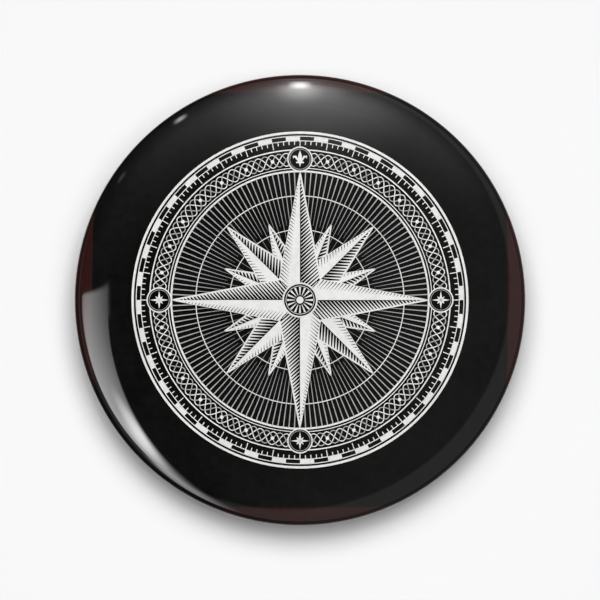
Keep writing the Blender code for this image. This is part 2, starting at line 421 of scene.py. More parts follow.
@dataclass(frozen=True)
class FilmFinish:
    """Clear polyester film, pressed onto the print.

    Its gloss is shared: the coat of the paper and the ink under it mirrors the room from the same
    dome, and the film itself adds its scuffed gloss where it is seen along its surface.
    """

    refraction: float = 1.5
    smoothness: float = 0.03
    scuffed: float = 0.12
    scuff_scale: float = 700.0
    scuff_stretch: Triple = (0.06, 1.0, 1.0)
    scuff_range: Pair = (0.55, 0.85)
    grazing: Pair = (0.12, 0.6)
    clearness: Colour = (0.99, 0.99, 0.985)

    def coat(self) -> dict[str, float]:
        """Gives a print under the film its part of the gloss.

        Returns:
            Values by the name of the socket.
        """
        return {
            "Coat Weight": 1.0,
            "Coat Roughness": self.smoothness,
            "Coat IOR": self.refraction,
            "Specular IOR Level": 0.0,
        }

    def outside(self) -> bpy.types.Material:
        """Makes the glossy outside, with fine scuffs.

        Returns:
            The material.
        """
        material, board = new_material("film_gloss")
        scuffs = board.noise(board.place(scale=self.scuff_stretch), self.scuff_scale, detail=3.0)
        roughness = board.ease(scuffs, *self.scuff_range, self.smoothness, self.scuffed)
        clear = board.node("BsdfTransparent", {"Color": self.clearness}).outputs[0]
        gloss = board.node("BsdfGlossy", {"Roughness": roughness}).outputs[0]
        mirror = board.node("Fresnel", {"IOR": self.refraction}).outputs[0]
        outward = board.calc(Op.SUBTRACT, 1.0, board.add("NewGeometry").outputs["Backfacing"])
        mirror = board.product(mirror, board.ease(mirror, *self.grazing), outward)
        board.finish(board.mix(mirror, clear, gloss))
        return material

    def inside(self) -> bpy.types.Material:
        """Makes the side that lies on the paper, which has no gloss of its own.

        Returns:
            The material.
        """
        material, board = new_material("film_inside")
        board.finish(board.node("BsdfTransparent", {"Color": (1.0, 1.0, 1.0)}).outputs[0])
        return material


FILM = FilmFinish()


@dataclass(frozen=True)
class PaperFinish:
    """Printed paper: a black square on a dark maroon ground, both in flat ink."""

    black: Colour = (0.0023, 0.0022, 0.0022)
    maroon: Colour = (0.0262, 0.0066, 0.0062)
    bare: Colour = (0.62, 0.60, 0.56)
    bare_share: float = 0.06
    square_half: float = 26.68 * MM
    soft_edge: float = 0.14 * MM
    roughness: float = 0.62
    fibre_scale: float = 900.0
    fibre_shade: Ramp = (0.3, 0.7, 0.0, 0.05)
    fibre_height: float = 0.01 * MM
    cloud_scale: float = 140.0
    cloud_shade: Ramp = (0.35, 0.65, 0.0, 0.04)

    def make(self) -> bpy.types.Material:
        """Makes the printed side. Its map is the paper laid flat, in metres.

        Returns:
            The material.
        """
        material, board = new_material("printed_paper_ink")
        flat = board.add("TexCoord").outputs["UV"]
        axes = board.node("SeparateXYZ", {"Vector": flat}).outputs
        reach = board.calc(Op.MAXIMUM, *(board.calc(Op.ABSOLUTE, axes[i]) for i in range(2)))
        half, soft = self.square_half, self.soft_edge
        ink = board.blend(board.ease(reach, half - soft, half + soft), self.black, self.maroon)
        fibres = board.noise(flat, self.fibre_scale, detail=4.0)
        cloud = board.noise(flat, self.cloud_scale)
        shade = board.total(
            board.ease(fibres, *self.fibre_shade),
            board.ease(cloud, *self.cloud_shade),
        )
        lighter = board.blend(self.bare_share, ink, self.bare)
        inputs = {
            "Base Color": board.blend(shade, ink, lighter),
            "Roughness": self.roughness,
            "Normal": board.bump(fibres, strength=0.15, distance=self.fibre_height),
        }
        board.finish(board.principled(inputs | FILM.coat()))
        return material


class Ink(Enum):
    """The inks of the line work, by material slot."""

    WHITE = 0
    BLACK = 1
    SILVER = 2


@dataclass(frozen=True)
class InkFinish:
    """Flat printing ink with the slight mottle of paper."""

    name: str
    colour: Colour
    mottle: float
    roughness: float = 0.6
    grain_scale: float = 1500.0
    patch_scale: float = 220.0
    mottle_range: Pair = (0.8, 1.2)

    def make(self) -> bpy.types.Material:
        """Makes the ink.

        Returns:
            The material.
        """
        material, board = new_material(self.name)
        place = board.place()
        grain = board.total(
            board.noise(place, self.grain_scale, detail=3.0),
            board.noise(place, self.patch_scale),
        )
        worn = tuple(c * (1 - self.mottle) for c in self.colour)
        colour = board.blend(board.ease(grain, *self.mottle_range), worn, self.colour)
        inputs = {"Base Color": colour, "Roughness": self.roughness}
        board.finish(board.principled(inputs | FILM.coat()))
        return material


INKS = {
    Ink.WHITE: InkFinish("ink_white", (0.87, 0.867, 0.857), 0.09),
    Ink.BLACK: InkFinish("ink_black", (0.0026, 0.0025, 0.0025), 0.3),
    Ink.SILVER: InkFinish("ink_silver", (0.46, 0.46, 0.455), 0.15),
}


@dataclass(frozen=True)
class TinplateFinish:
    """Bright rolled tinplate, with mill lines along x, faint spangle and handling scratches."""

    name: str
    colour: Colour
    roughness: Pair
    dulling: float = 0.84
    line_scale: float = 2600.0
    line_stretch: Triple = (0.02, 1.0, 1.0)
    line_range: Pair = (0.25, 0.75)
    spangle_scale: float = 420.0
    spangle_roughness: float = 0.03
    spangle_dulling: float = 0.15
    scratch_scale: float = 260.0
    scratch_stretch: Triple = (0.9, 1.0, 0.03)
    scratch_range: Pair = (0.66, 0.70)
    smear_scale: float = 90.0
    smear_range: Pair = (0.45, 0.8)
    smear_roughness: Ramp = (0.5, 0.8, 0.0, 0.08)
    relief: float = 0.012 * MM

    def make(self) -> bpy.types.Material:
        """Makes the metal.

        Returns:
            The material.
        """
        material, board = new_material(self.name)
        lines = board.noise(board.place(scale=self.line_stretch), self.line_scale, detail=4.0)
        cells = board.node("TexVoronoi", {"Vector": board.place(), "Scale": self.spangle_scale})
        spangle = board.node("SeparateXYZ", {"Vector": cells.outputs["Color"]}).outputs[0]
        marks = board.place(scale=self.scratch_stretch)
        scratch = board.noise(marks, self.scratch_scale, detail=5.0)
        smear = board.noise(board.place(), self.smear_scale, detail=3.0)
        roughness = board.total(
            board.ease(lines, *self.line_range, *self.roughness),
            board.product(spangle, self.spangle_roughness),
            board.ease(smear, *self.smear_roughness),
        )
        dull = tuple(c * self.dulling for c in self.colour)
        shine = board.blend(board.ease(smear, *self.smear_range), self.colour, dull)
        height = board.calc(Op.SUBTRACT, lines, board.ease(scratch, *self.scratch_range))
        inputs = {
            "Base Color": board.blend(board.product(spangle, self.spangle_dulling), shine, dull),
            "Metallic": 1.0,
            "Roughness": roughness,
            "Normal": board.bump(height, strength=0.12, distance=self.relief),
        }
        board.finish(board.principled(inputs))
        return material


BRIGHT_TIN = TinplateFinish("tinplate_bright", (0.86, 0.86, 0.865), (0.10, 0.19))
HIDDEN_TIN = TinplateFinish("tinplate_hidden", (0.70, 0.71, 0.73), (0.24, 0.4))


@dataclass(frozen=True)
class WireFinish:
    """Drawn and plated spring wire, with draw lines along it.

    Its map runs along the wire, in metres.
    """

    colour: Colour = (0.66, 0.66, 0.67)
    worn: Colour = (0.47, 0.45, 0.43)
    wear_scale: float = 380.0
    wear_range: Pair = (0.45, 0.75)
    wear_roughness: Ramp = (0.45, 0.8, 0.0, 0.14)
    line_stretch: Triple = (60.0, 4000.0, 1.0)
    line_roughness: Ramp = (0.3, 0.7, 0.14, 0.26)
    line_height: float = 0.01 * MM

    def make(self) -> bpy.types.Material:
        """Makes the plated metal.

        Returns:
            The material.
        """
        material, board = new_material("drawn_wire")
        lines = board.noise(board.place("UV", self.line_stretch), 1.0, detail=4.0)
        wear = board.noise(board.place(), self.wear_scale, detail=3.0)
        roughness = board.total(
            board.ease(lines, *self.line_roughness),
            board.ease(wear, *self.wear_roughness),
        )
        inputs = {
            "Base Color": board.blend(board.ease(wear, *self.wear_range), self.colour, self.worn),
            "Metallic": 1.0,
            "Roughness": roughness,
            "Normal": board.bump(lines, strength=0.15, distance=self.line_height),
        }
        board.finish(board.principled(inputs))
        return material


@dataclass(frozen=True)
class WrapOutline:
    """Outline of the wrapped front, on the outside of the film."""

    rim_radius: float = 29.0 * MM
    crown_slope: float = 6.0
    crown_steps: int = 22
    shoulder_radius: float = 16.8 * MM
    shoulder_slope: float = 17.0
    shoulder_steps: int = 10
    edge_radius: float = 1.7 * MM
    edge_steps: int = 14
    skirt_top: float = 2.0 * MM
    skirt_steps: int = 2
    hem_radius: float = 1.4 * MM
    hem_steps: int = 12
    flat_steps: int = 4
    tuck_bore: float = 25.9 * MM
    tuck_radius: float = 0.7 * MM
    tuck_height: float = 1.5 * MM
    tuck_steps: int = 8
    end_steps: int = 3

    def inner_centre(self, centre: Flat, radius: float, next_radius: float, slope: float) -> Flat:
        """Centre of an arc that goes on smoothly from another one.

        Args:
            centre: the other arc's centre.
            radius: the other arc's radius.
            next_radius: the radius of the arc that goes on.
            slope: the slope where they meet, in degrees.

        Returns:
            The centre.
        """
        angle = math.radians(90 - slope)
        step = next_radius - radius
        return (centre[0] - step * math.cos(angle), centre[1] - step * math.sin(angle))

    def edge(self) -> Flat:
        """Centre of the edge's arc."""
        return (self.rim_radius - self.edge_radius, self.skirt_top)

    def shoulder(self) -> Flat:
        """Centre of the shoulder's arc."""
        edge, slope = self.edge(), self.shoulder_slope
        return self.inner_centre(edge, self.edge_radius, self.shoulder_radius, slope)

    def crown(self) -> tuple[Flat, float]:
        """The crown's arc.

        Returns:
            Its centre and its radius.
        """
        shoulder, slope = self.shoulder(), self.crown_slope
        radius = self.shoulder_radius + shoulder[0] / math.sin(math.radians(slope))
        return self.inner_centre(shoulder, self.shoulder_radius, radius, slope), radius

    def crown_height(self, radius: float, offset: float) -> float:
        """Height of the crown at a distance from the axis, this far inside the outline."""
        centre, crown_radius = self.crown()
        return centre[1] + math.sqrt((crown_radius - offset) ** 2 - radius**2)

    def front(self, offset: float) -> list[Flat]:
        """Half section from the crown to the foot of the side.

        Args:
            offset: how far it lies inside the outline.

        Returns:
            Its points.
        """
        centre, radius = self.crown()
        upper, lower = 90 - self.crown_slope, 90 - self.shoulder_slope
        points = arc(centre, radius - offset, 90, upper, self.crown_steps)
        points[0] = (0.0, points[0][1])
        for middle, turn, start, end, steps in (
            (self.shoulder(), self.shoulder_radius, upper, lower, self.shoulder_steps),
            (self.edge(), self.edge_radius, lower, 0, self.edge_steps),
        ):
            points += arc(middle, turn - offset, start, end, steps)[1:]
        foot = (self.rim_radius - offset, self.hem_radius)
        return points + line(points[-1], foot, self.skirt_steps)[1:]

    def hem(self, offset: float) -> list[Flat]:
        """Half section that goes on from the side, round the hem and up inside.

        Args:
            offset: how far it lies inside the outline.

        Returns:
            Its points.
        """
        middle = (self.rim_radius - self.hem_radius, self.hem_radius)
        points = arc(middle, self.hem_radius - offset, 0, -90, self.hem_steps)[1:]
        inner = (self.tuck_bore + self.tuck_radius, self.tuck_radius)
        turn = arc(inner, self.tuck_radius - offset, -90, -180, self.tuck_steps)
        points += line(points[-1], turn[0], self.flat_steps)[1:] + turn[1:]
        end = (self.tuck_bore + offset, self.tuck_height)
        return points + line(points[-1], end, self.end_steps)[1:]


@dataclass(frozen=True)
class SectionPoint:
    """A point of a sheet's half section.

    `run` is its distance along the outline, and `part` its way round the hem, from 0 at the side
    to 1 at the inner end.
    """

    radius: float
    height: float
    run: float
    part: float


@dataclass
class WrappedFront:
    """The printed paper and the clear film, drawn over the shell and tucked in at the back."""

    wrap: WrapOutline
    film_thickness: float = 0.05 * MM
    paper_offset: float = 0.082 * MM
    paper_thickness: float = 0.12 * MM
    turn_steps: int = 320
    sharp_angle: float = 50.0
    pleat_height: float = 0.075 * MM
    pleat_spread: float = 11.0
    pleat_start: Pair = (0.12, 0.5)
    pleat_end: Pair = (0.62, 0.8)
    fold_level: float = 1.5
    fold_power: float = 0.8
    fold_drift: float = 0.8
    crease_level: float = 0.3
    crease_scale: float = 2.3
    crease_shift: float = 5.0

    def pleat(self, part: float, angle: float) -> float:
        """How far a pleat lifts the hem, which gathers where the flat discs turn the edge.

        Args:
            part: the way round the hem, from 0 at the side to 1 at the inner end.
            angle: the angle round the badge, in radians.

        Returns:
            The lift, in metres.
        """
        grip = smooth(*self.pleat_start, part) * (1 - smooth(*self.pleat_end, part))
        if grip == 0.0:
            return 0.0
        spot = Vector((math.cos(angle), math.sin(angle), 0.0)) * self.pleat_spread
        fold = noise.noise(spot + Vector((0.0, 0.0, self.fold_drift * part)))
        crease = noise.noise(spot * self.crease_scale + Vector((self.crease_shift, 0.0, part)))
        raised = max(0.0, fold) ** self.fold_power * self.fold_level
        return self.pleat_height * grip * (raised + self.crease_level * max(0.0, crease))

    def section(self, offset: float) -> list[SectionPoint]:
        """Half section of one side of a layer.

        Args:
            offset: how far it lies inside the outline.

        Returns:
            Its points, from the crown to the inner end of the hem.
        """
        front, hem = self.wrap.front(offset), self.wrap.hem(offset)
        outline = self.wrap.front(0.0) + self.wrap.hem(0.0)
        run, points = 0.0, []
        for i, (radius, height) in enumerate(front + hem):
            if i:
                run += math.dist(outline[i], outline[i - 1])
            part = max(0.0, (i - len(front) + 1) / len(hem))
            points.append(SectionPoint(radius, height, run, part))
        return points

    def lifts(self, section: list[SectionPoint]) -> list[Flat]:
        """The outward direction at each point of a half section.

        Args:
            section: the half section.

        Returns:
            The directions, by radius and height.
        """
        result = []
        for i in range(len(section)):
            before, after = section[max(0, i - 1)], section[min(len(section) - 1, i + 1)]
            step = (after.radius - before.radius, after.height - before.height)
            along = Vector(step).normalized()
            result.append((-along.y, along.x))
        return result

    def layer(self, name: str, offset: float, thickness: float) -> bpy.types.Mesh:
        """Turns a closed thin section round the badge's axis.

        Args:
            name: the mesh's name.
            offset: how far its outside lies inside the outline.
            thickness: the sheet's thickness.

        Returns:
            The mesh. Its first material is the outside and its second the inside, and its map is
            the sheet laid flat.
        """
        outside = self.section(offset)
        inside = self.section(offset + thickness)
        middle = len(outside)
        lifts = self.lifts(outside)
        places, spread, rows = [], [], []
        for i, point in enumerate(outside + inside[::-1]):
            steps = self.turn_steps if point.radius else 1
            lift = lifts[min(i, 2 * middle - 1 - i)]
            rows.append([len(places) + j for j in range(steps)])
            for j in range(steps):
                angle = 2 * math.pi * j / self.turn_steps
                rise = self.pleat(point.part, angle)
                wide, high = point.radius + lift[0] * rise, point.height + lift[1] * rise
                places.append(stand(wide * math.cos(angle), wide * math.sin(angle), high))
                spread.append((point.run * math.cos(angle), point.run * math.sin(angle)))
        faces, sides = [], []
        for i, (row, after) in enumerate(zip(rows, rows[1:])):
            for j in range(self.turn_steps):
                turns = ((row, j), (after, j), (after, j + 1), (row, j + 1))
                ring = [spots[k % self.turn_steps % len(spots)] for spots, k in turns]
                faces.append(list(dict.fromkeys(ring)))
                sides.append(0 if i < middle - 1 else 1)
        mesh = bpy.data.meshes.new(name)
        mesh.from_pydata(places, [], faces)
        mesh.polygons.foreach_set("material_index", sides)
        chart = mesh.uv_layers.new(name="laid_flat")
        for corner in mesh.loops:
            chart.data[corner.index].uv = spread[corner.vertex_index]
        soften(mesh, self.sharp_angle)
        return mesh

    def build(self) -> None:
        """Makes both layers and fits them to the frame."""
        film = link("film_wrap", self.layer("film_wrap", 0.0, self.film_thickness))
        sheet = self.layer("paper_wrap", self.paper_offset, self.paper_thickness)
        paper = link("paper_wrap", sheet)
        for material in (FILM.outside(), FILM.inside()):
            film.data.materials.append(material)
        # The coat under the film mirrors the room, so a mirrored ray need not cross the film again.
        hide(film, Ray.GLOSSY)
        printed = PaperFinish().make()
        # Both sides of the paper take the ink.
        for _ in range(2):
            paper.data.materials.append(printed)
        for piece, node, slot in (
            (film, "clear_film", "polyester_film"),
            (paper, "printed_disc", "printed_paper"),
        ):
            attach(piece, "badge")
            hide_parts(node)
            report(piece)


@dataclass(frozen=True)
class StarTier:
    """Points of the star that are alike, evenly spaced from the heading of the first.

    `root` is how far their side corners lie from the middle, and `spread` the angle of those
    corners from a point's axis. The lines of a point lie one layer above its fill.
    """

    count: int
    first: float
    length: float
    root: float
    spread: float
    layer: int


@dataclass(frozen=True)
class StarHalf:
    """One half of every star point, with the engraved lines over its fill.

    `reach` is how much of the way to the ridge the lines go. Their width is given at the outer
    edge and at the inner end.
    """

    side: int
    fill: Ink
    lines: Ink
    reach: float
    line_width: Pair
    rim_width: float


@dataclass
class CompassRose:
    """The print: a plain mariner's compass rose in engraved line work, with no lettering.

    A tuple of rings gives the radius and the width of each.
    """

    wrap: WrapOutline
    base_offset: float = 0.0785 * MM
    layer_step: float = 0.003 * MM
    ink_thickness: float = 0.002 * MM

    field_radius: float = 16.45 * MM
    field_rays: int = 144
    ray_starts: Pair = (9.6 * MM, 7.2 * MM)
    ray_width: Pair = (0.02 * MM, 0.15 * MM)
    field_rings: tuple[Pair, ...] = (
        (16.45 * MM, 0.24 * MM),
        (16.85 * MM, 0.10 * MM),
        (13.3 * MM, 0.12 * MM),
        (9.0 * MM, 0.10 * MM),
    )

    band_radius: float = 18.0 * MM
    wave_swing: float = 0.82 * MM
    wave_width: float = 0.12 * MM
    wave_lobes: int = 32
    wave_steps: int = 960
    pearl_radius: float = 0.24 * MM

    scale_rings: tuple[Pair, ...] = (
        (19.2 * MM, 0.16 * MM),
        (20.35 * MM, 0.10 * MM),
        (20.95 * MM, 0.10 * MM),
        (21.4 * MM, 0.30 * MM),
    )
    block_radius: float = 20.65 * MM
    block_width: float = 0.6 * MM
    block_angle: int = 5
    degree_step: int = 2
    degree_starts: Pair = (19.45 * MM, 19.85 * MM)
    degree_end: float = 20.32 * MM
    degree_width: float = 0.11 * MM

    medal_radius: float = 1.6 * MM
    medal_rings: tuple[tuple[float, float, Ink], ...] = (
        (1.55 * MM, 0.16 * MM, Ink.WHITE),
        (1.3 * MM, 0.07 * MM, Ink.SILVER),
    )
    medal_layer: int = 2
    medal_points: int = 8
    medal_tips: Pair = (1.1 * MM, 0.65 * MM)
    medal_widths: Triple = (0.42 * MM, 0.22 * MM, 0.02 * MM)

    north: float = 90.0
    # The strokes of the lily: x and y from its middle, and the width there, in millimetres.
    lily_stem: tuple[Triple, ...] = (
        (0.0, -0.95, 0.05),
        (0.0, -0.4, 0.3),
        (0.0, 0.15, 0.52),
        (0.0, 0.6, 0.4),
        (0.0, 1.1, 0.03),
    )
    lily_petal: tuple[Triple, ...] = (
        (0.1, -0.45, 0.1),
        (0.3, -0.05, 0.22),
        (0.56, 0.32, 0.3),
        (0.82, 0.34, 0.26),
        (0.88, 0.08, 0.04),
    )
    lily_band: tuple[Triple, ...] = ((-0.5, -0.42, 0.2), (0.5, -0.42, 0.2))

    tiers: tuple[StarTier, ...] = (
        StarTier(8, 22.5, 10.4 * MM, 5.9 * MM, 11.25, 1),
        StarTier(4, 45.0, 13.2 * MM, 5.2 * MM, 22.5, 3),
        StarTier(4, 0.0, 16.3 * MM, 3.7 * MM, 45.0, 5),
    )
    halves: tuple[StarHalf, ...] = (
        StarHalf(1, Ink.WHITE, Ink.BLACK, 0.42, (0.13 * MM, 0.02 * MM), 0.14 * MM),
        StarHalf(-1, Ink.BLACK, Ink.WHITE, 0.94, (0.24 * MM, 0.05 * MM), 0.2 * MM),
    )
    rim_steps: int = 12
    hatch_step: float = 0.42 * MM
    hatch_slant: float = 0.9
    hatch_least: float = 0.15 * MM

    boss_radius: float = 2.25 * MM
    boss_rings: tuple[Pair, ...] = ((2.15 * MM, 0.2 * MM), (1.8 * MM, 0.07 * MM))
    boss_layer: int = 7
    petals: int = 16
    petal_ends: Pair = (0.62 * MM, 1.66 * MM)
    petal_width: Pair = (0.06 * MM, 0.26 * MM)
    eye_radius: float = 0.46 * MM

    # The fewest pieces of a ring and a disc, and those for each millimetre of radius.
    ring_least: int = 24
    ring_per_mm: int = 14
    disc_least: int = 16
    disc_per_mm: int = 20
    shape: bmesh.types.BMesh = field(default_factory=bmesh.new)

    def spot(self, place: Flat, layer: int) -> bmesh.types.BMVert:
        """Makes a vertex on the dome.

        Args:
            place: its place on the face.
            layer: the height of the ink, counted in layers above the paper.

        Returns:
            The vertex.
        """
        offset = self.base_offset - layer * self.layer_step
        height = self.wrap.crown_height(math.hypot(*place), offset)
        return self.shape.verts.new(stand(*place, height))

    def face(self, corners: list[bmesh.types.BMVert], ink: Ink) -> None:
        """One face of an ink."""
        self.shape.faces.new(corners).material_index = ink.value

    def wedge(self, corners: list[Flat], layer: int, ink: Ink, cuts: int = 10) -> None:
        """A filled triangle that follows the dome.

        Args:
            corners: its three corners, counted round to the left.
            layer: the height of the ink.
            ink: its colour.
            cuts: how many pieces each side is cut into.
        """
        first, second, third = (Vector(c) for c in corners)
        step = third - second
        rows = []
        for i in range(cuts + 1):
            start = first.lerp(second, i / cuts)
            rows.append([self.spot(start + step * (j / cuts), layer) for j in range(i + 1)])
        for i in range(cuts):
            for j in range(i + 1):
                self.face([rows[i][j], rows[i + 1][j], rows[i + 1][j + 1]], ink)
            for j in range(i):
                self.face([rows[i][j], rows[i + 1][j + 1], rows[i][j + 1]], ink)

    def stroke(
        self, path: list[Flat], widths: list[float], layer: int, ink: Ink, closed: bool = False
    ) -> None:
        """A ribbon of ink along a path.

        Args:
            path: the middle of the ribbon.
            widths: its width at each point.
            layer: the height of the ink.
            ink: its colour.
            closed: whether the end meets the start.
        """
        count = len(path)
        edges = []
        for i, place in enumerate(path):
            before = path[i - 1] if closed or i else path[i]
            after = path[(i + 1) % count] if closed or i < count - 1 else path[i]
            along = (Vector(after) - Vector(before)).normalized() * (widths[i] / 2)
            left = (place[0] - along.y, place[1] + along.x)
            right = (place[0] + along.y, place[1] - along.x)
            edges.append((self.spot(right, layer), self.spot(left, layer)))
        for i in range(count if closed else count - 1):
            here, there = edges[i], edges[(i + 1) % count]
            self.face([here[0], there[0], there[1], here[1]], ink)

    def ring(
        self, radius: float, width: float, layer: int, ink: Ink, centre: Flat = (0.0, 0.0)
    ) -> None:
        """A round line."""
        steps = max(self.ring_least, int(radius / MM * self.ring_per_mm))
        self.stroke(circle(radius, steps, centre), [width] * steps, layer, ink, closed=True)

    def disc(self, centre: Flat, radius: float, layer: int, ink: Ink) -> None:
        """A filled round spot.

        Args:
            centre: its middle.
            radius: its radius.
            layer: the height of the ink.
            ink: its colour.
        """
        steps = max(self.disc_least, int(radius / MM * self.disc_per_mm))
        rim = [self.spot(place, layer) for place in circle(radius, steps, centre)]
        middle = self.spot(centre, layer)
        for i in range(steps):
            self.face([middle, rim[i], rim[(i + 1) % steps]], ink)

    def dash(self, heading: float, ends: Pair, width: Pair, layer: int, ink: Ink) -> None:
        """A straight line that points out from the middle.

        Args:
            heading: its angle, in degrees.
            ends: the distances of its start and its end from the middle.
            width: its widths at the start and at the end.
            layer: the height of the ink.
            ink: its colour.
        """
        steps = max(1, round((ends[1] - ends[0]) / MM))
        path = line(polar(ends[0], heading), polar(ends[1], heading), steps)
        self.stroke(path, taper(*width, steps), layer, ink)

    def turned(self, place: Vector, heading: float, side: int) -> Flat:
        """Turns a place to the heading of a star point.

        Args:
            place: the place, along and across the point.
            heading: the point's heading, in degrees.
            side: 1 where across goes to the left, and -1 where it goes to the right.

        Returns:
            The place on the face.
        """
        along, across = polar(1.0, heading), polar(1.0, heading + 90 * side)
        return (
            place[0] * along[0] + place[1] * across[0],
            place[0] * along[1] + place[1] * across[1],
        )

    def hatch(self, points: list[Vector], heading: float, half: StarHalf, layer: int) -> None:
        """Engraved lines from the outer edge of half a star point in towards its ridge.

        Args:
            points: the root, the side corner and the tip, along and across the point.
            heading: the point's heading, in degrees.
            half: the half that the lines are on.
            layer: the height of the ink.
        """
        for start, end in zip(points, points[1:]):
            count = int((end - start).length / self.hatch_step)
            for i in range(1, count):
                outer = start.lerp(end, i / count)
                ridge = Vector((max(outer.x - self.hatch_slant * outer.y, 0.0), 0.0))
                inner = outer.lerp(ridge, half.reach)
                length = (inner - outer).length
                if length < self.hatch_least:
                    continue
                steps = max(1, math.ceil(length / MM))
                spots = [outer.lerp(inner, j / steps) for j in range(steps + 1)]
                path = [self.turned(spot, heading, half.side) for spot in spots]
                self.stroke(path, taper(*half.line_width, steps), layer, half.lines)

    def star_point(self, tier: StarTier, heading: float) -> None:
        """One point of the star: a light half, a hatched half and their outline.

        Args:
            tier: the tier that it belongs to.
            heading: its heading, in degrees.
        """
        corner = Vector(polar(tier.root, tier.spread))
        points = [Vector((0.0, 0.0)), corner, Vector((tier.length, 0.0))]
        for half in self.halves:
            corners = [self.turned(p, heading, half.side) for p in points]
            self.wedge(corners if half.side < 0 else corners[::-1], tier.layer, half.fill)
            self.hatch(points, heading, half, tier.layer + 1)
        for half in self.halves:
            rim = line(points[1], points[2], self.rim_steps)
            path = [self.turned(Vector(p), heading, half.side) for p in rim]
            self.stroke(path, [half.rim_width] * len(path), tier.layer + 1, Ink.WHITE)

    def rings(self, rings: tuple[Pair, ...], layer: int) -> None:
        """White round lines about the middle."""
        for radius, width in rings:
            self.ring(radius, width, layer, Ink.WHITE)

    def field_lines(self) -> None:
        """The ground behind the star: rays that thin out inwards, and thin circles."""
        for i in range(self.field_rays):
            ends = (self.ray_starts[i % 2], self.field_radius)
            self.dash(i * 360 / self.field_rays, ends, self.ray_width, 0, Ink.SILVER)
        self.rings(self.field_rings, 0)

    def wave_band(self) -> None:
        """The twisted wave lines between the star and the scale, with a pearl in each eye."""
        steps, lobes = self.wave_steps, self.wave_lobes
        for quarter in range(4):
            path = []
            for i in range(steps):
                wave = math.cos(math.radians(90.0 * quarter) + 2 * math.pi * lobes * i / steps)
                path.append(polar(self.band_radius + self.wave_swing * wave, 360 * i / steps))
            ink = Ink.SILVER if quarter % 2 else Ink.WHITE
            self.stroke(path, [self.wave_width] * steps, 0, ink, closed=True)
        for place in circle(self.band_radius, lobes):
            self.disc(place, self.pearl_radius, 1, Ink.WHITE)

    def degree_scale(self) -> None:
        """The divided border: rings, light and dark blocks, and degree lines."""
        self.rings(self.scale_rings, 0)
        for start in range(0, 360, 2 * self.block_angle):
            path = [polar(self.block_radius, start + j) for j in range(self.block_angle + 1)]
            self.stroke(path, [self.block_width] * len(path), 0, Ink.WHITE)
        long_start, short_start = self.degree_starts
        for degree in range(0, 360, self.degree_step):
            ends = (short_start if degree % 10 else long_start, self.degree_end)
            self.dash(degree, ends, (self.degree_width,) * 2, 0, Ink.WHITE)

    def medallions(self) -> None:
        """Four round marks on the band: a lily at the top and a small star on the other three."""
        top = self.medal_layer + 1
        for heading in (0.0, 90.0, 180.0, 270.0):
            centre = polar(self.band_radius, heading)
            self.disc(centre, self.medal_radius, self.medal_layer, Ink.BLACK)
            for radius, width, ink in self.medal_rings:
                self.ring(radius, width, top, ink, centre)
            if heading == self.north:
                self.lily(centre, top)
                continue
            for i in range(self.medal_points):
                tip = polar(self.medal_tips[i % 2], 360 / self.medal_points * i)
                end = (centre[0] + tip[0], centre[1] + tip[1])
                path = line(centre, end, len(self.medal_widths) - 1)
                self.stroke(path, list(self.medal_widths), top, Ink.WHITE)

    def lily(self, centre: Flat, layer: int) -> None:
        """The old sign for north: three petals and a band.

        Args:
            centre: its middle.
            layer: the height of its lowest ink.
        """
        for petal, side, above in (
            (self.lily_stem, 1, 0),
            (self.lily_petal, 1, 1),
            (self.lily_petal, -1, 1),
            (self.lily_band, 1, 2),
        ):
            path = [(centre[0] + x * side * MM, centre[1] + y * MM) for x, y, _ in petal]
            self.stroke(path, [width * MM for *_, width in petal], layer + above, Ink.WHITE)

    def star(self) -> None:
        """The sixteen points of the star, the lowest first."""
        for tier in self.tiers:
            for i in range(tier.count):
                self.star_point(tier, tier.first + 360 / tier.count * i)

    def boss(self) -> None:
        """The round middle of the star."""
        top = self.boss_layer + 1
        self.disc((0.0, 0.0), self.boss_radius, self.boss_layer, Ink.BLACK)
        self.rings(self.boss_rings, top)
        for i in range(self.petals):
            self.dash(360 / self.petals * i, self.petal_ends, self.petal_width, top, Ink.WHITE)
        self.disc((0.0, 0.0), self.eye_radius, top, Ink.WHITE)

    def build(self) -> None:
        """Draws the rose, gives the ink its thickness and fits it to the frame."""
        self.field_lines()
        self.wave_band()
        self.degree_scale()
        self.medallions()
        self.star()
        self.boss()
        piece = link("compass_rose", to_mesh("compass_rose", self.shape))
        for ink in Ink:
            piece.data.materials.append(INKS[ink].make())
        depth = piece.modifiers.new("ink depth", "SOLIDIFY")
        depth.thickness = self.ink_thickness
        depth.offset = -1.0
        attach(piece, "badge")
        report(piece)


class Press(Enum):
    """What a tool does to the sheet, by Blender's word for it."""

    ADD = "UNION"
    CUT = "DIFFERENCE"


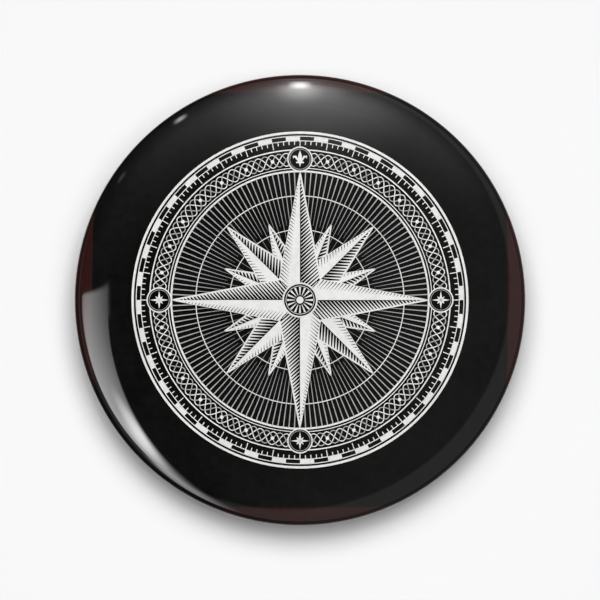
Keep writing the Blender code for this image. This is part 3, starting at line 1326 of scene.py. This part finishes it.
@dataclass
class BackPlate:
    """The pressed tinplate back, with the bridge and the catch lanced out of the same sheet."""

    thickness: float = 0.28 * MM
    recess_depth: float = 2.2 * MM
    recess_radius: float = 20.74 * MM
    crest_radius: float = 22.14 * MM
    bead_radius: float = 25.84 * MM
    bead_setback: float = 0.5 * MM
    bead_fillet: float = 0.55 * MM
    flange_height: float = 1.85 * MM
    flange_radius: float = 27.92 * MM
    flange_fillet: float = 0.35 * MM
    groove_radius: float = 9.74 * MM
    groove_width: float = 2.2 * MM
    groove_depth: float = 0.3 * MM
    groove_side: float = 0.6 * MM
    groove_fillet: float = 0.35 * MM
    hinge_x: float = -16.54 * MM
    hinge_y: float = -3.2 * MM
    hinge_height: float = 1.69 * MM
    strap_width: float = 3.4 * MM
    strap_flare: float = 0.3 * MM
    tunnel_radius: float = 0.51 * MM
    lance_slit: float = 0.2 * MM
    catch_x: float = 16.54 * MM
    catch_height: float = 1.05 * MM
    catch_top: float = -0.3 * MM
    catch_cheek: float = 1.1 * MM
    catch_corner: float = 0.45 * MM
    catch_root: float = 0.3 * MM
    notch_half: float = 0.6 * MM
    notch_pocket: float = 1.3 * MM
    lead_in: float = 0.15 * MM
    window_ledge: float = 0.15 * MM
    edge_round: float = 0.035 * MM
    round_segments: int = 2
    round_angle: float = 50.0
    sharp_angle: float = 40.0
    turn_steps: int = 192
    bend_steps: int = 12
    fillet_steps: int = 6
    merge_gap: float = 0.001 * MM
    guides: list[bpy.types.Object] = field(default_factory=list)

    def section(self) -> list[Flat]:
        """Half section of the back surface.

        Returns:
            Its points, from the middle to the flange's edge.
        """
        inner = self.groove_radius - self.groove_width / 2
        outer = self.groove_radius + self.groove_width / 2
        floor = self.recess_depth
        corners = [
            (0.0, floor),
            (inner, floor),
            (inner + self.groove_side, floor + self.groove_depth),
            (outer - self.groove_side, floor + self.groove_depth),
            (outer, floor),
            (self.recess_radius, floor),
            (self.crest_radius, self.bead_setback),
            (self.bead_radius, self.bead_setback),
            (self.bead_radius, self.flange_height),
            (self.flange_radius, self.flange_height),
        ]
        radii = [self.groove_fillet] * 4 + [self.bead_fillet] * 3 + [self.flange_fillet]
        return rounded_outline(corners, radii, self.fillet_steps)

    def sheet(self) -> bpy.types.Object:
        """Presses the disc, before it is lanced.

        Returns:
            The disc, with its modifiers.
        """
        mesh = bpy.data.meshes.new("plate_blank")
        points = [(radius, 0.0, height) for radius, height in self.section()]
        mesh.from_pydata(points, [(i, i + 1) for i in range(len(points) - 1)], [])
        blank = link("plate_blank", mesh)
        turn = blank.modifiers.new("turn", "SCREW")
        turn.axis = "Z"
        turn.steps = turn.render_steps = self.turn_steps
        turn.use_merge_vertices = True
        turn.merge_threshold = self.merge_gap
        depth = blank.modifiers.new("thickness", "SOLIDIFY")
        depth.thickness = self.thickness
        depth.offset = 1.0
        depth.use_even_offset = True
        return blank

    def cut(
        self, blank: bpy.types.Object, outline: list[Triple], direction: Triple, press: Press
    ) -> None:
        """Adds a Boolean with a straight-sided solid.

        Args:
            blank: the sheet that is cut or added to.
            outline: the solid's flat outline, as points.
            direction: how far the outline is drawn out.
            press: whether the solid is added or cut away.
        """
        shape = bmesh.new()
        face = shape.faces.new([shape.verts.new(p) for p in outline])
        grown = bmesh.ops.extrude_face_region(shape, geom=[face])["geom"]
        moved = [g for g in grown if isinstance(g, bmesh.types.BMVert)]
        bmesh.ops.translate(shape, verts=moved, vec=direction)
        bmesh.ops.recalc_face_normals(shape, faces=shape.faces)
        guide = link("plate_guide", to_mesh("plate_guide", shape))
        self.guides.append(guide)
        step = blank.modifiers.new("lance", "BOOLEAN")
        step.object = guide
        step.operation = press.value
        step.solver = "EXACT"

    def arch(self, radius: float, foot: float, flare: float) -> list[Flat]:
        """Outline of an arch over the hinge axis.

        Args:
            radius: its radius.
            foot: the height that its feet go down to.
            flare: the bend radius at its feet, or 0 for straight ones.

        Returns:
            Points of x and height, from one foot to the other.
        """
        crest, floor = self.hinge_height - radius, self.recess_depth
        corners = [(-radius, foot), (-radius, crest), (radius, crest), (radius, foot)]
        radii = [radius, radius]
        if flare:
            corners[0], corners[-1] = (-radius, floor), (radius, floor)
            corners = [(-radius - 2 * flare, floor)] + corners + [(radius + 2 * flare, floor)]
            radii = [flare, radius, radius, flare]
        path = rounded_outline(corners, radii, self.bend_steps)
        if flare:
            path = path[1:-1]
            path = [(path[0][0], foot)] + path + [(path[-1][0], foot)]
        return path

    def lance_bridge(self, blank: bpy.types.Object) -> None:
        """Presses the hinge bridge out of the sheet and opens its tunnel.

        Args:
            blank: the pressed disc.
        """
        middle = self.recess_depth + self.thickness / 2
        through = self.recess_depth + 2 * self.thickness
        low = self.hinge_y - self.strap_width / 2
        strap = self.arch(self.tunnel_radius + self.thickness, middle, self.strap_flare)
        strap = [(self.hinge_x + x, low, h) for x, h in strap]
        self.cut(blank, strap, (0.0, self.strap_width, 0.0), Press.ADD)
        low -= self.lance_slit
        tunnel = self.arch(self.tunnel_radius, through, 0.0)
        tunnel = [(self.hinge_x + x, low, h) for x, h in tunnel]
        self.cut(blank, tunnel, (0.0, self.strap_width + 2 * self.lance_slit, 0.0), Press.CUT)

    def catch_outline(self, foot: float) -> list[Flat]:
        """Outline of the catch, with the L-shaped notch that the pin drops into.

        Args:
            foot: the height that its feet go down to.

        Returns:
            Points of y and height, from one foot to the other.
        """
        half, top = self.notch_half, self.catch_top
        pocket = -half - self.notch_pocket
        low_side, high_side = pocket - self.catch_cheek, half + self.catch_cheek
        roof, floor = self.catch_height - half, self.catch_height + half
        corners = [
            (low_side, foot),
            (low_side, top),
            (-half, top),
            (-half, roof),
            (pocket, roof),
            (pocket, floor),
            (half, floor),
            (half, top),
            (high_side, top),
            (high_side, foot),
        ]
        radii = [self.catch_corner] + [self.lead_in] * 2 + [self.catch_corner] * 3
        radii += [self.lead_in, self.catch_corner]
        return rounded_outline(corners, radii, self.fillet_steps)

    def lance_catch(self, blank: bpy.types.Object) -> None:
        """Bends the catch up out of the sheet, with the window that it leaves beside it.

        Args:
            blank: the pressed disc.
        """
        middle = self.recess_depth + self.thickness / 2
        outline = self.catch_outline(middle)
        low_side, high_side = outline[0][0], outline[-1][0]
        tab = [(self.catch_x, y, h) for y, h in outline]
        self.cut(blank, tab, (self.thickness, 0.0, 0.0), Press.ADD)

        inside = self.catch_x + self.thickness / 2
        start = (self.catch_x - 2 * self.catch_root, self.recess_depth)
        bend = [start, (self.catch_x, self.recess_depth), (self.catch_x, self.catch_height)]
        curve = rounded_outline(bend, [self.catch_root], self.bend_steps)[1:-1]
        side = [(curve[0][0], middle)] + curve + [(inside, curve[-1][1]), (inside, middle)]
        root = [(x, low_side + self.catch_root, h) for x, h in side]
        self.cut(blank, root, (0.0, high_side - low_side - 2 * self.catch_root, 0.0), Press.ADD)

        near = self.catch_x + self.thickness + self.window_ledge
        far = near + self.recess_depth - self.catch_top
        window = [(near, low_side), (far, low_side), (far, high_side), (near, high_side)]
        window = [(x, y, self.recess_depth - self.thickness) for x, y in window]
        self.cut(blank, window, (0.0, 0.0, 3 * self.thickness), Press.CUT)

    def build(self) -> None:
        """Presses, lances and rounds the plate, and fits it to the frame."""
        blank = self.sheet()
        self.lance_bridge(blank)
        self.lance_catch(blank)
        rounding = blank.modifiers.new("edges", "BEVEL")
        rounding.width = self.edge_round
        rounding.segments = self.round_segments
        rounding.limit_method = "ANGLE"
        rounding.angle_limit = math.radians(self.round_angle)
        bpy.context.view_layer.update()
        ready = blank.evaluated_get(bpy.context.evaluated_depsgraph_get())
        mesh = bpy.data.meshes.new_from_object(ready)
        mesh.name = "pressed_back"
        for spare in self.guides + [blank]:
            bpy.data.objects.remove(spare, do_unlink=True)
        for vertex in mesh.vertices:
            vertex.co = stand(*vertex.co)
        soften(mesh, self.sharp_angle)
        mesh.materials.clear()
        mesh.materials.append(BRIGHT_TIN.make())
        piece = link("pressed_back", mesh)
        even = piece.modifiers.new("even shading", "WEIGHTED_NORMAL")
        even.keep_sharp = True
        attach(piece, "badge")
        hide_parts("back_plate")
        report(piece)


@dataclass
class SpringPin:
    """The bent spring wire with its ground point, which turns in the bridge."""

    wire_radius: float = 0.45 * MM
    bend_radius: float = 1.2 * MM
    bow_radius: float = 4.0 * MM
    tail_length: float = 5.8 * MM
    bow_run: float = 8.2 * MM
    bow_height: float = -0.5 * MM
    tip_overhang: float = 3.6 * MM
    point_length: float = 2.8 * MM
    point_radius: float = 0.06 * MM
    point_power: float = 1.35
    point_steps: int = 12
    end_round: float = 0.12 * MM
    end_steps: int = 4
    sides: int = 28
    bend_steps: int = 16
    sharp_angle: float = 40.0

    def path(self, plate: BackPlate) -> list[Vector]:
        """The wire's middle line in the frame.

        Args:
            plate: the plate whose bridge and catch hold it.

        Returns:
            Its points, from the tail to the start of the ground point.
        """
        leg = -plate.hinge_y
        bow = self.bow_height - plate.hinge_height
        seat = plate.catch_height - plate.hinge_height
        catch = plate.catch_x - plate.hinge_x
        start = self.bend_radius + self.bow_radius / 2
        corners = [
            (self.tail_length, -leg, 0.0),
            (0.0, -leg, 0.0),
            (0.0, leg, 0.0),
            (start, leg, 0.0),
            (start + self.bow_run, leg, bow),
            (catch - self.bow_run, leg, bow),
            (catch - 2 * self.wire_radius, leg, seat),
            (catch + self.tip_overhang - self.point_length, leg, seat),
        ]
        radii = [self.bend_radius] * 2 + [self.bow_radius] * 4
        hinge = Vector((plate.hinge_x, plate.hinge_y, plate.hinge_height))
        return [stand(*(spot + hinge)) for spot in rounded_path(corners, radii, self.bend_steps)]

    def stations(self, plate: BackPlate) -> list[tuple[Vector, float]]:
        """Places along the wire, from a deburred tail to a ground point.

        Args:
            plate: the plate whose bridge and catch hold it.

        Returns:
            Each place, with the wire's radius there.
        """
        path = self.path(plate)
        inward = (path[1] - path[0]).normalized()
        result = []
        for i in range(self.end_steps + 1):
            turn = math.radians(90 * i / self.end_steps)
            inset = self.end_round * (1 - math.sin(turn))
            spot = path[0] + inward * (self.end_round * (1 - math.cos(turn)))
            result.append((spot, self.wire_radius - inset))
        result += [(spot, self.wire_radius) for spot in path[1:]]
        ahead = (path[-1] - path[-2]).normalized()
        ground = self.wire_radius - self.point_radius
        for i in range(1, self.point_steps + 1):
            part = i / self.point_steps
            radius = self.point_radius + ground * (1 - part**self.point_power)
            result.append((path[-1] + ahead * (self.point_length * part), radius))
        return result

    def build(self, plate: BackPlate) -> None:
        """Draws the wire out along its path and fits it to the frame.

        Args:
            plate: the plate whose bridge and catch hold it.
        """
        stations = self.stations(plate)
        shape = bmesh.new()
        chart = shape.loops.layers.uv.new("along_wire")
        across = Vector((0.0, 1.0, 0.0))
        rows, runs, run = [], [], 0.0
        for i, (spot, radius) in enumerate(stations):
            before, after = stations[max(0, i - 1)][0], stations[min(len(stations) - 1, i + 1)][0]
            ahead = (after - before).normalized()
            across = (across - ahead * across.dot(ahead)).normalized()
            up = ahead.cross(across)
            turns = [2 * math.pi * j / self.sides for j in range(self.sides)]
            ring = [spot + (across * math.cos(t) + up * math.sin(t)) * radius for t in turns]
            run += (spot - before).length
            rows.append([shape.verts.new(place) for place in ring])
            runs.append(run)
        for i in range(len(rows) - 1):
            for j in range(self.sides):
                k = (j + 1) % self.sides
                corners = [rows[i][j], rows[i][k], rows[i + 1][k], rows[i + 1][j]]
                places = [(i, j), (i, j + 1), (i + 1, j + 1), (i + 1, j)]
                for corner, (row, turn) in zip(shape.faces.new(corners).loops, places):
                    girth = self.wire_radius * 2 * math.pi * turn / self.sides
                    corner[chart].uv = (runs[row], girth)
        shape.faces.new(rows[0][::-1])
        shape.faces.new(rows[-1])
        bmesh.ops.recalc_face_normals(shape, faces=shape.faces)
        mesh = to_mesh("bent_pin", shape)
        soften(mesh, self.sharp_angle)
        mesh.materials.append(WireFinish().make())
        piece = link("bent_pin", mesh)
        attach(piece, "pin")
        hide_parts("pin_wire")
        report(piece)


@dataclass
class FrontShell:
    """The domed tinplate front, which stays as its CAD node inside the paper."""

    metal: TinplateFinish = HIDDEN_TIN

    def dress(self) -> None:
        """Gives the node a metal of its own."""
        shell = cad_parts["front_shell"]
        shell.data.materials.clear()
        shell.data.materials.append(self.metal.make())
        LOG.info("front_shell: dressed")


@dataclass(frozen=True)
class Sky:
    """Where a mirrored ray goes, as sockets of the world's nodes.

    `tilt` is its angle from straight before the face, and `bearing` its angle round the face, from
    up towards the right, both in degrees. `over` and `high` are its place on a plane that stands
    before the face at a distance of one.
    """

    right: Socket
    up: Socket
    ahead: Socket
    away: Socket
    tilt: Socket
    bearing: Socket
    over: Socket
    high: Socket

    @classmethod
    def of(cls, board: Board, nearest: float = 0.05) -> "Sky":
        """Works them out from the ray's direction.

        Args:
            board: the world's nodes.
            nearest: the least that a ray goes ahead, for its place on the plane.

        Returns:
            The sockets.
        """
        view = board.add("TexCoord").outputs["Generated"]
        right, away, up = board.node("SeparateXYZ", {"Vector": view}).outputs
        ahead = board.product(away, -1.0)
        reach = board.gap(right, up, (0.0, 0.0))
        before = board.calc(Op.MAXIMUM, ahead, nearest)
        return cls(
            right=right,
            up=up,
            ahead=ahead,
            away=away,
            tilt=board.calc(Op.DEGREES, board.calc(Op.ARCTAN2, reach, ahead)),
            bearing=board.calc(Op.DEGREES, board.calc(Op.ARCTAN2, right, up)),
            over=board.calc(Op.DIVIDE, right, before),
            high=board.calc(Op.DIVIDE, up, before),
        )


@dataclass(frozen=True)
class Lobe:
    """The spread of a lamp round a bearing, in degrees.

    It holds its level as far as `flat` to each side and fades out at `half_width`.
    """

    bearing: float
    half_width: float
    level: float = 1.0
    flat: float = 0.0

    def share(self, board: Board, sky: Sky) -> Socket:
        """The lobe's level by bearing."""
        aside = board.apart(sky.bearing, self.bearing)
        return board.product(board.ease(aside, self.flat, self.half_width, 1.0, 0.0), self.level)


@dataclass(frozen=True)
class Glow:
    """A soft lamp before the badge.

    Its ramps go by tilt: those of `rise` add up and those of `fall` multiply. Its lobes add up.
    """

    rise: tuple[Ramp, ...]
    fall: tuple[Ramp, ...]
    lobes: tuple[Lobe, ...]

    def brightness(self, board: Board, sky: Sky) -> Socket:
        """The lamp's brightness by direction.

        Args:
            board: the world's nodes.
            sky: where the ray goes.

        Returns:
            The brightness.
        """
        return board.product(
            board.total(*(board.ease(sky.tilt, *ramp) for ramp in self.rise)),
            board.product(*(board.ease(sky.tilt, *ramp) for ramp in self.fall)),
            board.total(*(lobe.share(board, sky) for lobe in self.lobes)),
        )


# The lamp above the badge: its wide glow, the halo in that, and a small bright core.
TOP_LAMP = (
    Glow(
        rise=((5.9, 11.8, 0.0, 0.08), (10.3, 15.9, 0.0, 0.8), (17.7, 23.1, 0.0, 0.09)),
        fall=((25.8, 40.1, 1.0, 0.42), (52.8, 62.3, 1.0, 0.58)),
        lobes=(Lobe(3.3, 32.4, 2.0), Lobe(5.1, 68.2, 1.02), Lobe(-50.0, 40.0, 0.11)),
    ),
    Glow(
        rise=((12.1, 34.4, 0.0, 4.8), (18.7, 38.3, 0.0, 7.2)),
        fall=((29.7, 40.0, 1.0, 0.194), (57.8, 63.8, 1.0, 0.47)),
        lobes=(Lobe(1.3, 14.1, 0.36), Lobe(0.0, 7.6, 0.64)),
    ),
    Glow(
        rise=((30.1, 35.0, 0.0, 26.8),),
        fall=((19.6, 60.8, 1.0, 0.0),),
        lobes=(Lobe(0.0, 3.75, flat=0.2),),
    ),
)
# Two small far lamps to the upper left.
GLINTS = (
    Glow(
        rise=((33.5, 38.5, 0.0, 8.0),),
        fall=((38.5, 68.0, 1.0, 0.0),),
        lobes=(Lobe(-33.5, 2.6),),
    ),
    Glow(
        rise=((33.5, 38.5, 0.0, 0.9),),
        fall=((38.5, 52.0, 1.0, 0.0),),
        lobes=(Lobe(-55.5, 2.6),),
    ),
)


@dataclass(frozen=True)
class Window:
    """A window to the lower left, with three soft spots of light in it.

    Its near edge is a parabola on the plane before the face. It stops at `edge_end`, goes straight
    up from there, and gets softer downwards. A blind over the far corner keeps the window off the
    middle of the face when the badge is seen from the right. A spot has a place, a radius and a
    level.
    """

    edge_foot: float = -0.497
    edge_bend: float = 0.546
    edge_start: float = -0.387
    edge_end: float = -0.2622
    soft_top: float = 0.025
    soft_growth: float = 0.21
    soft_least: float = 0.006
    top: Ramp = (0.014, 0.028, 1.0, 0.0)
    low_end: Pair = (-166.9, -151.8)
    far_turn: float = 0.53
    far_end: Ramp = (-19.4, 7.2, 1.0, 0.0)
    blind_bearing: float = -118.0
    blind_tilt: Ramp = (45.0, 50.0, 0.0, 0.92)
    blind_width: Ramp = (15.0, 25.0, 1.0, 0.0)
    level: float = -1.09
    level_slope: float = -6.39
    level_end: float = -1.1
    spots: tuple[tuple[Flat, float, float], ...] = (
        ((-0.414, -0.344), 0.155, 11.3),
        ((-0.485, -0.454), 0.148, 7.2),
        ((-0.605, -0.53), 0.83, 5.7),
    )

    def inside(self, board: Board, sky: Sky) -> Socket:
        """Where the window is.

        Args:
            board: the world's nodes.
            sky: where the ray goes.

        Returns:
            1 within the window and 0 outside.
        """
        raised = board.calc(Op.MAXIMUM, board.calc(Op.SUBTRACT, sky.high, self.edge_foot), 0.0)
        edge = board.total(board.product(raised, raised, self.edge_bend), self.edge_start)
        edge = board.calc(Op.MINIMUM, edge, self.edge_end)
        below = board.calc(Op.SUBTRACT, self.soft_top, sky.high)
        softness = board.total(board.product(below, below, self.soft_growth), self.soft_least)
        past = board.calc(Op.DIVIDE, board.calc(Op.SUBTRACT, sky.over, edge), softness)
        far = board.total(sky.tilt, board.product(sky.bearing, self.far_turn))
        blind = board.product(
            board.ease(sky.tilt, *self.blind_tilt),
            board.ease(board.apart(sky.bearing, self.blind_bearing), *self.blind_width),
        )
        return board.product(
            board.ease(past, -1.0, 1.0, 1.0, 0.0),
            board.ease(sky.high, *self.top),
            board.ease(sky.bearing, *self.low_end),
            board.ease(far, *self.far_end),
            board.calc(Op.SUBTRACT, 1.0, blind),
        )

    def brightness(self, board: Board, sky: Sky) -> Socket:
        """The window's brightness by direction.

        Args:
            board: the world's nodes.
            sky: where the ray goes.

        Returns:
            The brightness.
        """
        slope = board.product(board.calc(Op.MAXIMUM, sky.over, self.level_end), self.level_slope)
        spots = [
            board.ease(board.gap(sky.over, sky.high, place), 0.0, radius, level, 0.0)
            for place, radius, level in self.spots
        ]
        level = board.total(slope, self.level, *spots)
        return board.product(self.inside(board, sky), board.calc(Op.MAXIMUM, level, 0.0))


@dataclass(frozen=True)
class SideLight:
    """The dim rest of the room before the badge, lighter to the right and in the lower corner."""

    lean: float = 0.25
    base: Ramp = (-0.2, 0.22, 0.03, 0.15)
    corner_reach: float = 1.5
    corner: Ramp = (1.34, 1.56, 0.0, 0.27)

    def brightness(self, board: Board, sky: Sky) -> Socket:
        """The brightness of the rest by direction.

        Args:
            board: the world's nodes.
            sky: where the ray goes.

        Returns:
            The brightness.
        """
        slope = board.calc(Op.SUBTRACT, sky.over, board.product(sky.high, self.lean))
        base = board.ease(slope, *self.base)
        aside = board.product(board.gap(sky.over, sky.high, (0.0, 0.0)), self.corner_reach)
        corner = board.total(sky.over, board.product(sky.high, -1.0), aside)
        return board.total(base, board.ease(corner, *self.corner))


@dataclass(frozen=True)
class Rear:
    """The room behind the badge, which the metal back mirrors, with a lamp in it."""

    start: Pair = (0.42, 0.66)
    upward: Ramp = (-0.45, 0.5, 0.16, 0.5)
    right_side: Ramp = (0.56, 0.78, 0.0, 0.5)
    left_side: Ramp = (-0.35, -0.7, 0.0, 0.45)
    lamp_place: Flat = (0.0, 0.12)
    lamp: Ramp = (0.1, 0.24, 0.85, 0.0)

    def brightness(self, board: Board, sky: Sky) -> Socket:
        """The rear's brightness by direction.

        Args:
            board: the world's nodes.
            sky: where the ray goes.

        Returns:
            The brightness.
        """
        back = board.total(
            board.ease(sky.up, *self.upward),
            board.ease(sky.right, *self.right_side),
            board.ease(sky.right, *self.left_side),
            board.ease(board.gap(sky.right, sky.up, self.lamp_place), *self.lamp),
        )
        return board.product(board.ease(sky.away, *self.start), back)


@dataclass(frozen=True)
class Room:
    """The room by direction, as the film and the metal mirror it."""

    before: tuple[Glow | Window | SideLight, ...] = (*TOP_LAMP, Window(), SideLight(), *GLINTS)
    rear: Rear = Rear()
    facing: Pair = (0.0, 0.15)
    belt: Ramp = (-0.9, 0.5, 0.04, 0.16)

    def brightness(self, board: Board) -> Socket:
        """The room's brightness: what is before the badge, a dim belt round it, and the rear.

        Args:
            board: the world's nodes.

        Returns:
            The brightness.
        """
        sky = Sky.of(board)
        parts = board.total(*(part.brightness(board, sky) for part in self.before))
        front = board.product(board.ease(sky.ahead, *self.facing), parts)
        belt = board.product(
            board.ease(sky.ahead, *self.facing, 1.0, 0.0),
            board.ease(sky.right, *self.belt),
        )
        return board.total(front, belt, self.rear.brightness(board, sky))


@dataclass(frozen=True)
class Lamp:
    """A wide soft lamp that shines on the badge from far away.

    `source` is the direction that its light comes from, and `spread` the angle that it fills.
    """

    name: str
    source: Triple
    spread: float
    power: float

    def hang(self) -> None:
        """Puts the lamp into the scene, out of sight of what the gloss mirrors."""
        light = bpy.data.lights.new(self.name, "SUN")
        light.energy = self.power
        light.angle = math.radians(self.spread)
        thing = link(self.name, light)
        thing.rotation_mode = "QUATERNION"
        thing.rotation_quaternion = Vector(self.source).to_track_quat("Z", "Y")
        hide(thing, Ray.GLOSSY)


LAMPS = (
    Lamp("left_fill", (-0.34, -0.94, 0.04), 36.0, 0.595),
    Lamp("right_fill", (0.42, -0.91, 0.04), 36.0, 0.67),
    Lamp("left_key", (-0.22, -0.83, 0.515), 32.0, 1.065),
    Lamp("right_key", (0.22, -0.83, 0.515), 32.0, 1.305),
    Lamp("rear_fill", (0.2, 0.9, 0.42), 90.0, 1.5),
)


@dataclass
class Studio:
    """The pale wall behind the badge, the lamps, the room that is mirrored, and the camera."""

    pale: float = 0.937
    ambient: float = 0.03
    wall_albedo: float = 0.925
    wall_place: float = 2.0 * MM
    wall_radius: float = 62.0 * MM
    fade_start: float = 40.0 * MM
    edge_on: Pair = (0.78, 0.93)
    flag_place: float = 10.0 * MM
    flag_bore: float = 38.5 * MM
    flag_radius: float = 220.0 * MM
    flag_share: float = 0.6
    flag_levels: Pair = (0.03, 0.13)
    rim_steps: int = 96
    camera_distance: float = 600.0 * MM
    lens: float = 279.45
    sensor: float = 36.0
    nearest: float = 10 * MM
    room: Room = Room()

    def wall(self) -> None:
        """A pale wall behind the badge. It keeps the shadow and fades into the backdrop."""
        mesh = bpy.data.meshes.new("pale_wall")
        rim = [stand(*p, -self.wall_place) for p in circle(self.wall_radius, self.rim_steps)]
        mesh.from_pydata(rim, [], [list(range(self.rim_steps))])
        material, board = new_material("pale_wall")
        spot = board.add("TexCoord").outputs["Object"]
        out = board.node("VectorMath", {"Vector": spot}, operation="LENGTH").outputs["Value"]
        fade = board.ease(out, self.fade_start, self.wall_radius)
        behind = board.add("NewGeometry").outputs["Backfacing"]
        edge_on = board.ease(board.add("LayerWeight").outputs["Facing"], *self.edge_on)
        amount = board.calc(Op.MAXIMUM, board.calc(Op.MAXIMUM, fade, behind), edge_on)
        matt = board.node("BsdfDiffuse", {"Color": (self.wall_albedo,) * 3}).outputs[0]
        board.finish(board.mix(amount, matt, board.add("BsdfTransparent").outputs[0]))
        mesh.materials.append(material)
        wall = link("pale_wall", mesh)
        hide(wall, Ray.DIFFUSE, Ray.GLOSSY, Ray.TRANSMISSION, Ray.SHADOW)

    def flag(self) -> None:
        """A dark ring, seen only in the gloss, that keeps the rim from mirroring the rear."""
        steps = self.rim_steps
        mesh = bpy.data.meshes.new("dark_flag")
        spots = circle(self.flag_bore, steps) + circle(self.flag_radius, steps)
        turns = [(i, (i + 1) % steps) for i in range(steps)]
        faces = [[i, k, steps + k, steps + i] for i, k in turns]
        mesh.from_pydata([stand(*p, -self.flag_place) for p in spots], [], faces)
        material, board = new_material("dark_flag")
        across = board.node("SeparateXYZ", {"Vector": board.place()}).outputs[0]
        far = self.flag_share * self.flag_bore
        level = board.ease(across, -self.flag_bore, far, *self.flag_levels)
        glow = board.node("Emission", {"Color": (1.0, 1.0, 1.0), "Strength": level})
        board.finish(glow.outputs[0])
        mesh.materials.append(material)
        ring = link("dark_flag", mesh)
        hide(ring, Ray.CAMERA, Ray.DIFFUSE, Ray.TRANSMISSION, Ray.SHADOW)

    def world(self) -> None:
        """The backdrop for the camera, the room for gloss, and a little even light for the rest.

        Gloss that is seen by way of a matt surface gets the even light too.
        """
        world = bpy.data.worlds.new("studio")
        world.use_nodes = True
        world.cycles.sampling_method = "NONE"
        bpy.context.scene.world = world
        board = Board(world.node_tree)
        rays = board.add("LightPath").outputs
        backdrop = board.node("Background", {"Color": (self.pale,) * 3}).outputs[0]
        even = board.node("Background", {"Color": (self.ambient,) * 3}).outputs[0]
        light = {"Color": (1.0, 1.0, 1.0), "Strength": self.room.brightness(board)}
        mirrored = board.node("Background", light).outputs[0]
        first = board.calc(Op.LESS_THAN, rays["Diffuse Depth"], 0.5)
        gloss = board.product(rays["Is Glossy Ray"], first)
        shader = board.mix(gloss, even, mirrored)
        board.finish(board.mix(rays["Is Camera Ray"], shader, backdrop), "OutputWorld")

    def camera(self) -> None:
        """The photograph's view: straight at the face, from well away."""
        eye = bpy.data.cameras.new("front_view")
        eye.lens = self.lens
        eye.sensor_width = self.sensor
        eye.clip_start = self.nearest
        thing = link("front_view", eye)
        thing.location = (0.0, -self.camera_distance, 0.0)
        thing.rotation_euler = (math.pi / 2, 0.0, 0.0)
        bpy.context.scene.camera = thing

    def build(self) -> None:
        """Sets the whole studio up."""
        bpy.context.scene.view_settings.view_transform = "Standard"
        self.camera()
        self.wall()
        self.flag()
        for lamp in LAMPS:
            lamp.hang()
        self.world()


def main() -> None:
    """Builds the studio and every piece, in order."""
    logging.basicConfig(level=logging.INFO, format="%(name)s: %(message)s")
    wrap = WrapOutline()
    plate = BackPlate()
    Studio().build()
    WrappedFront(wrap).build()
    CompassRose(wrap).build()
    FrontShell().dress()
    plate.build()
    SpringPin().build(plate)


if __name__ == "__main__":
    main()
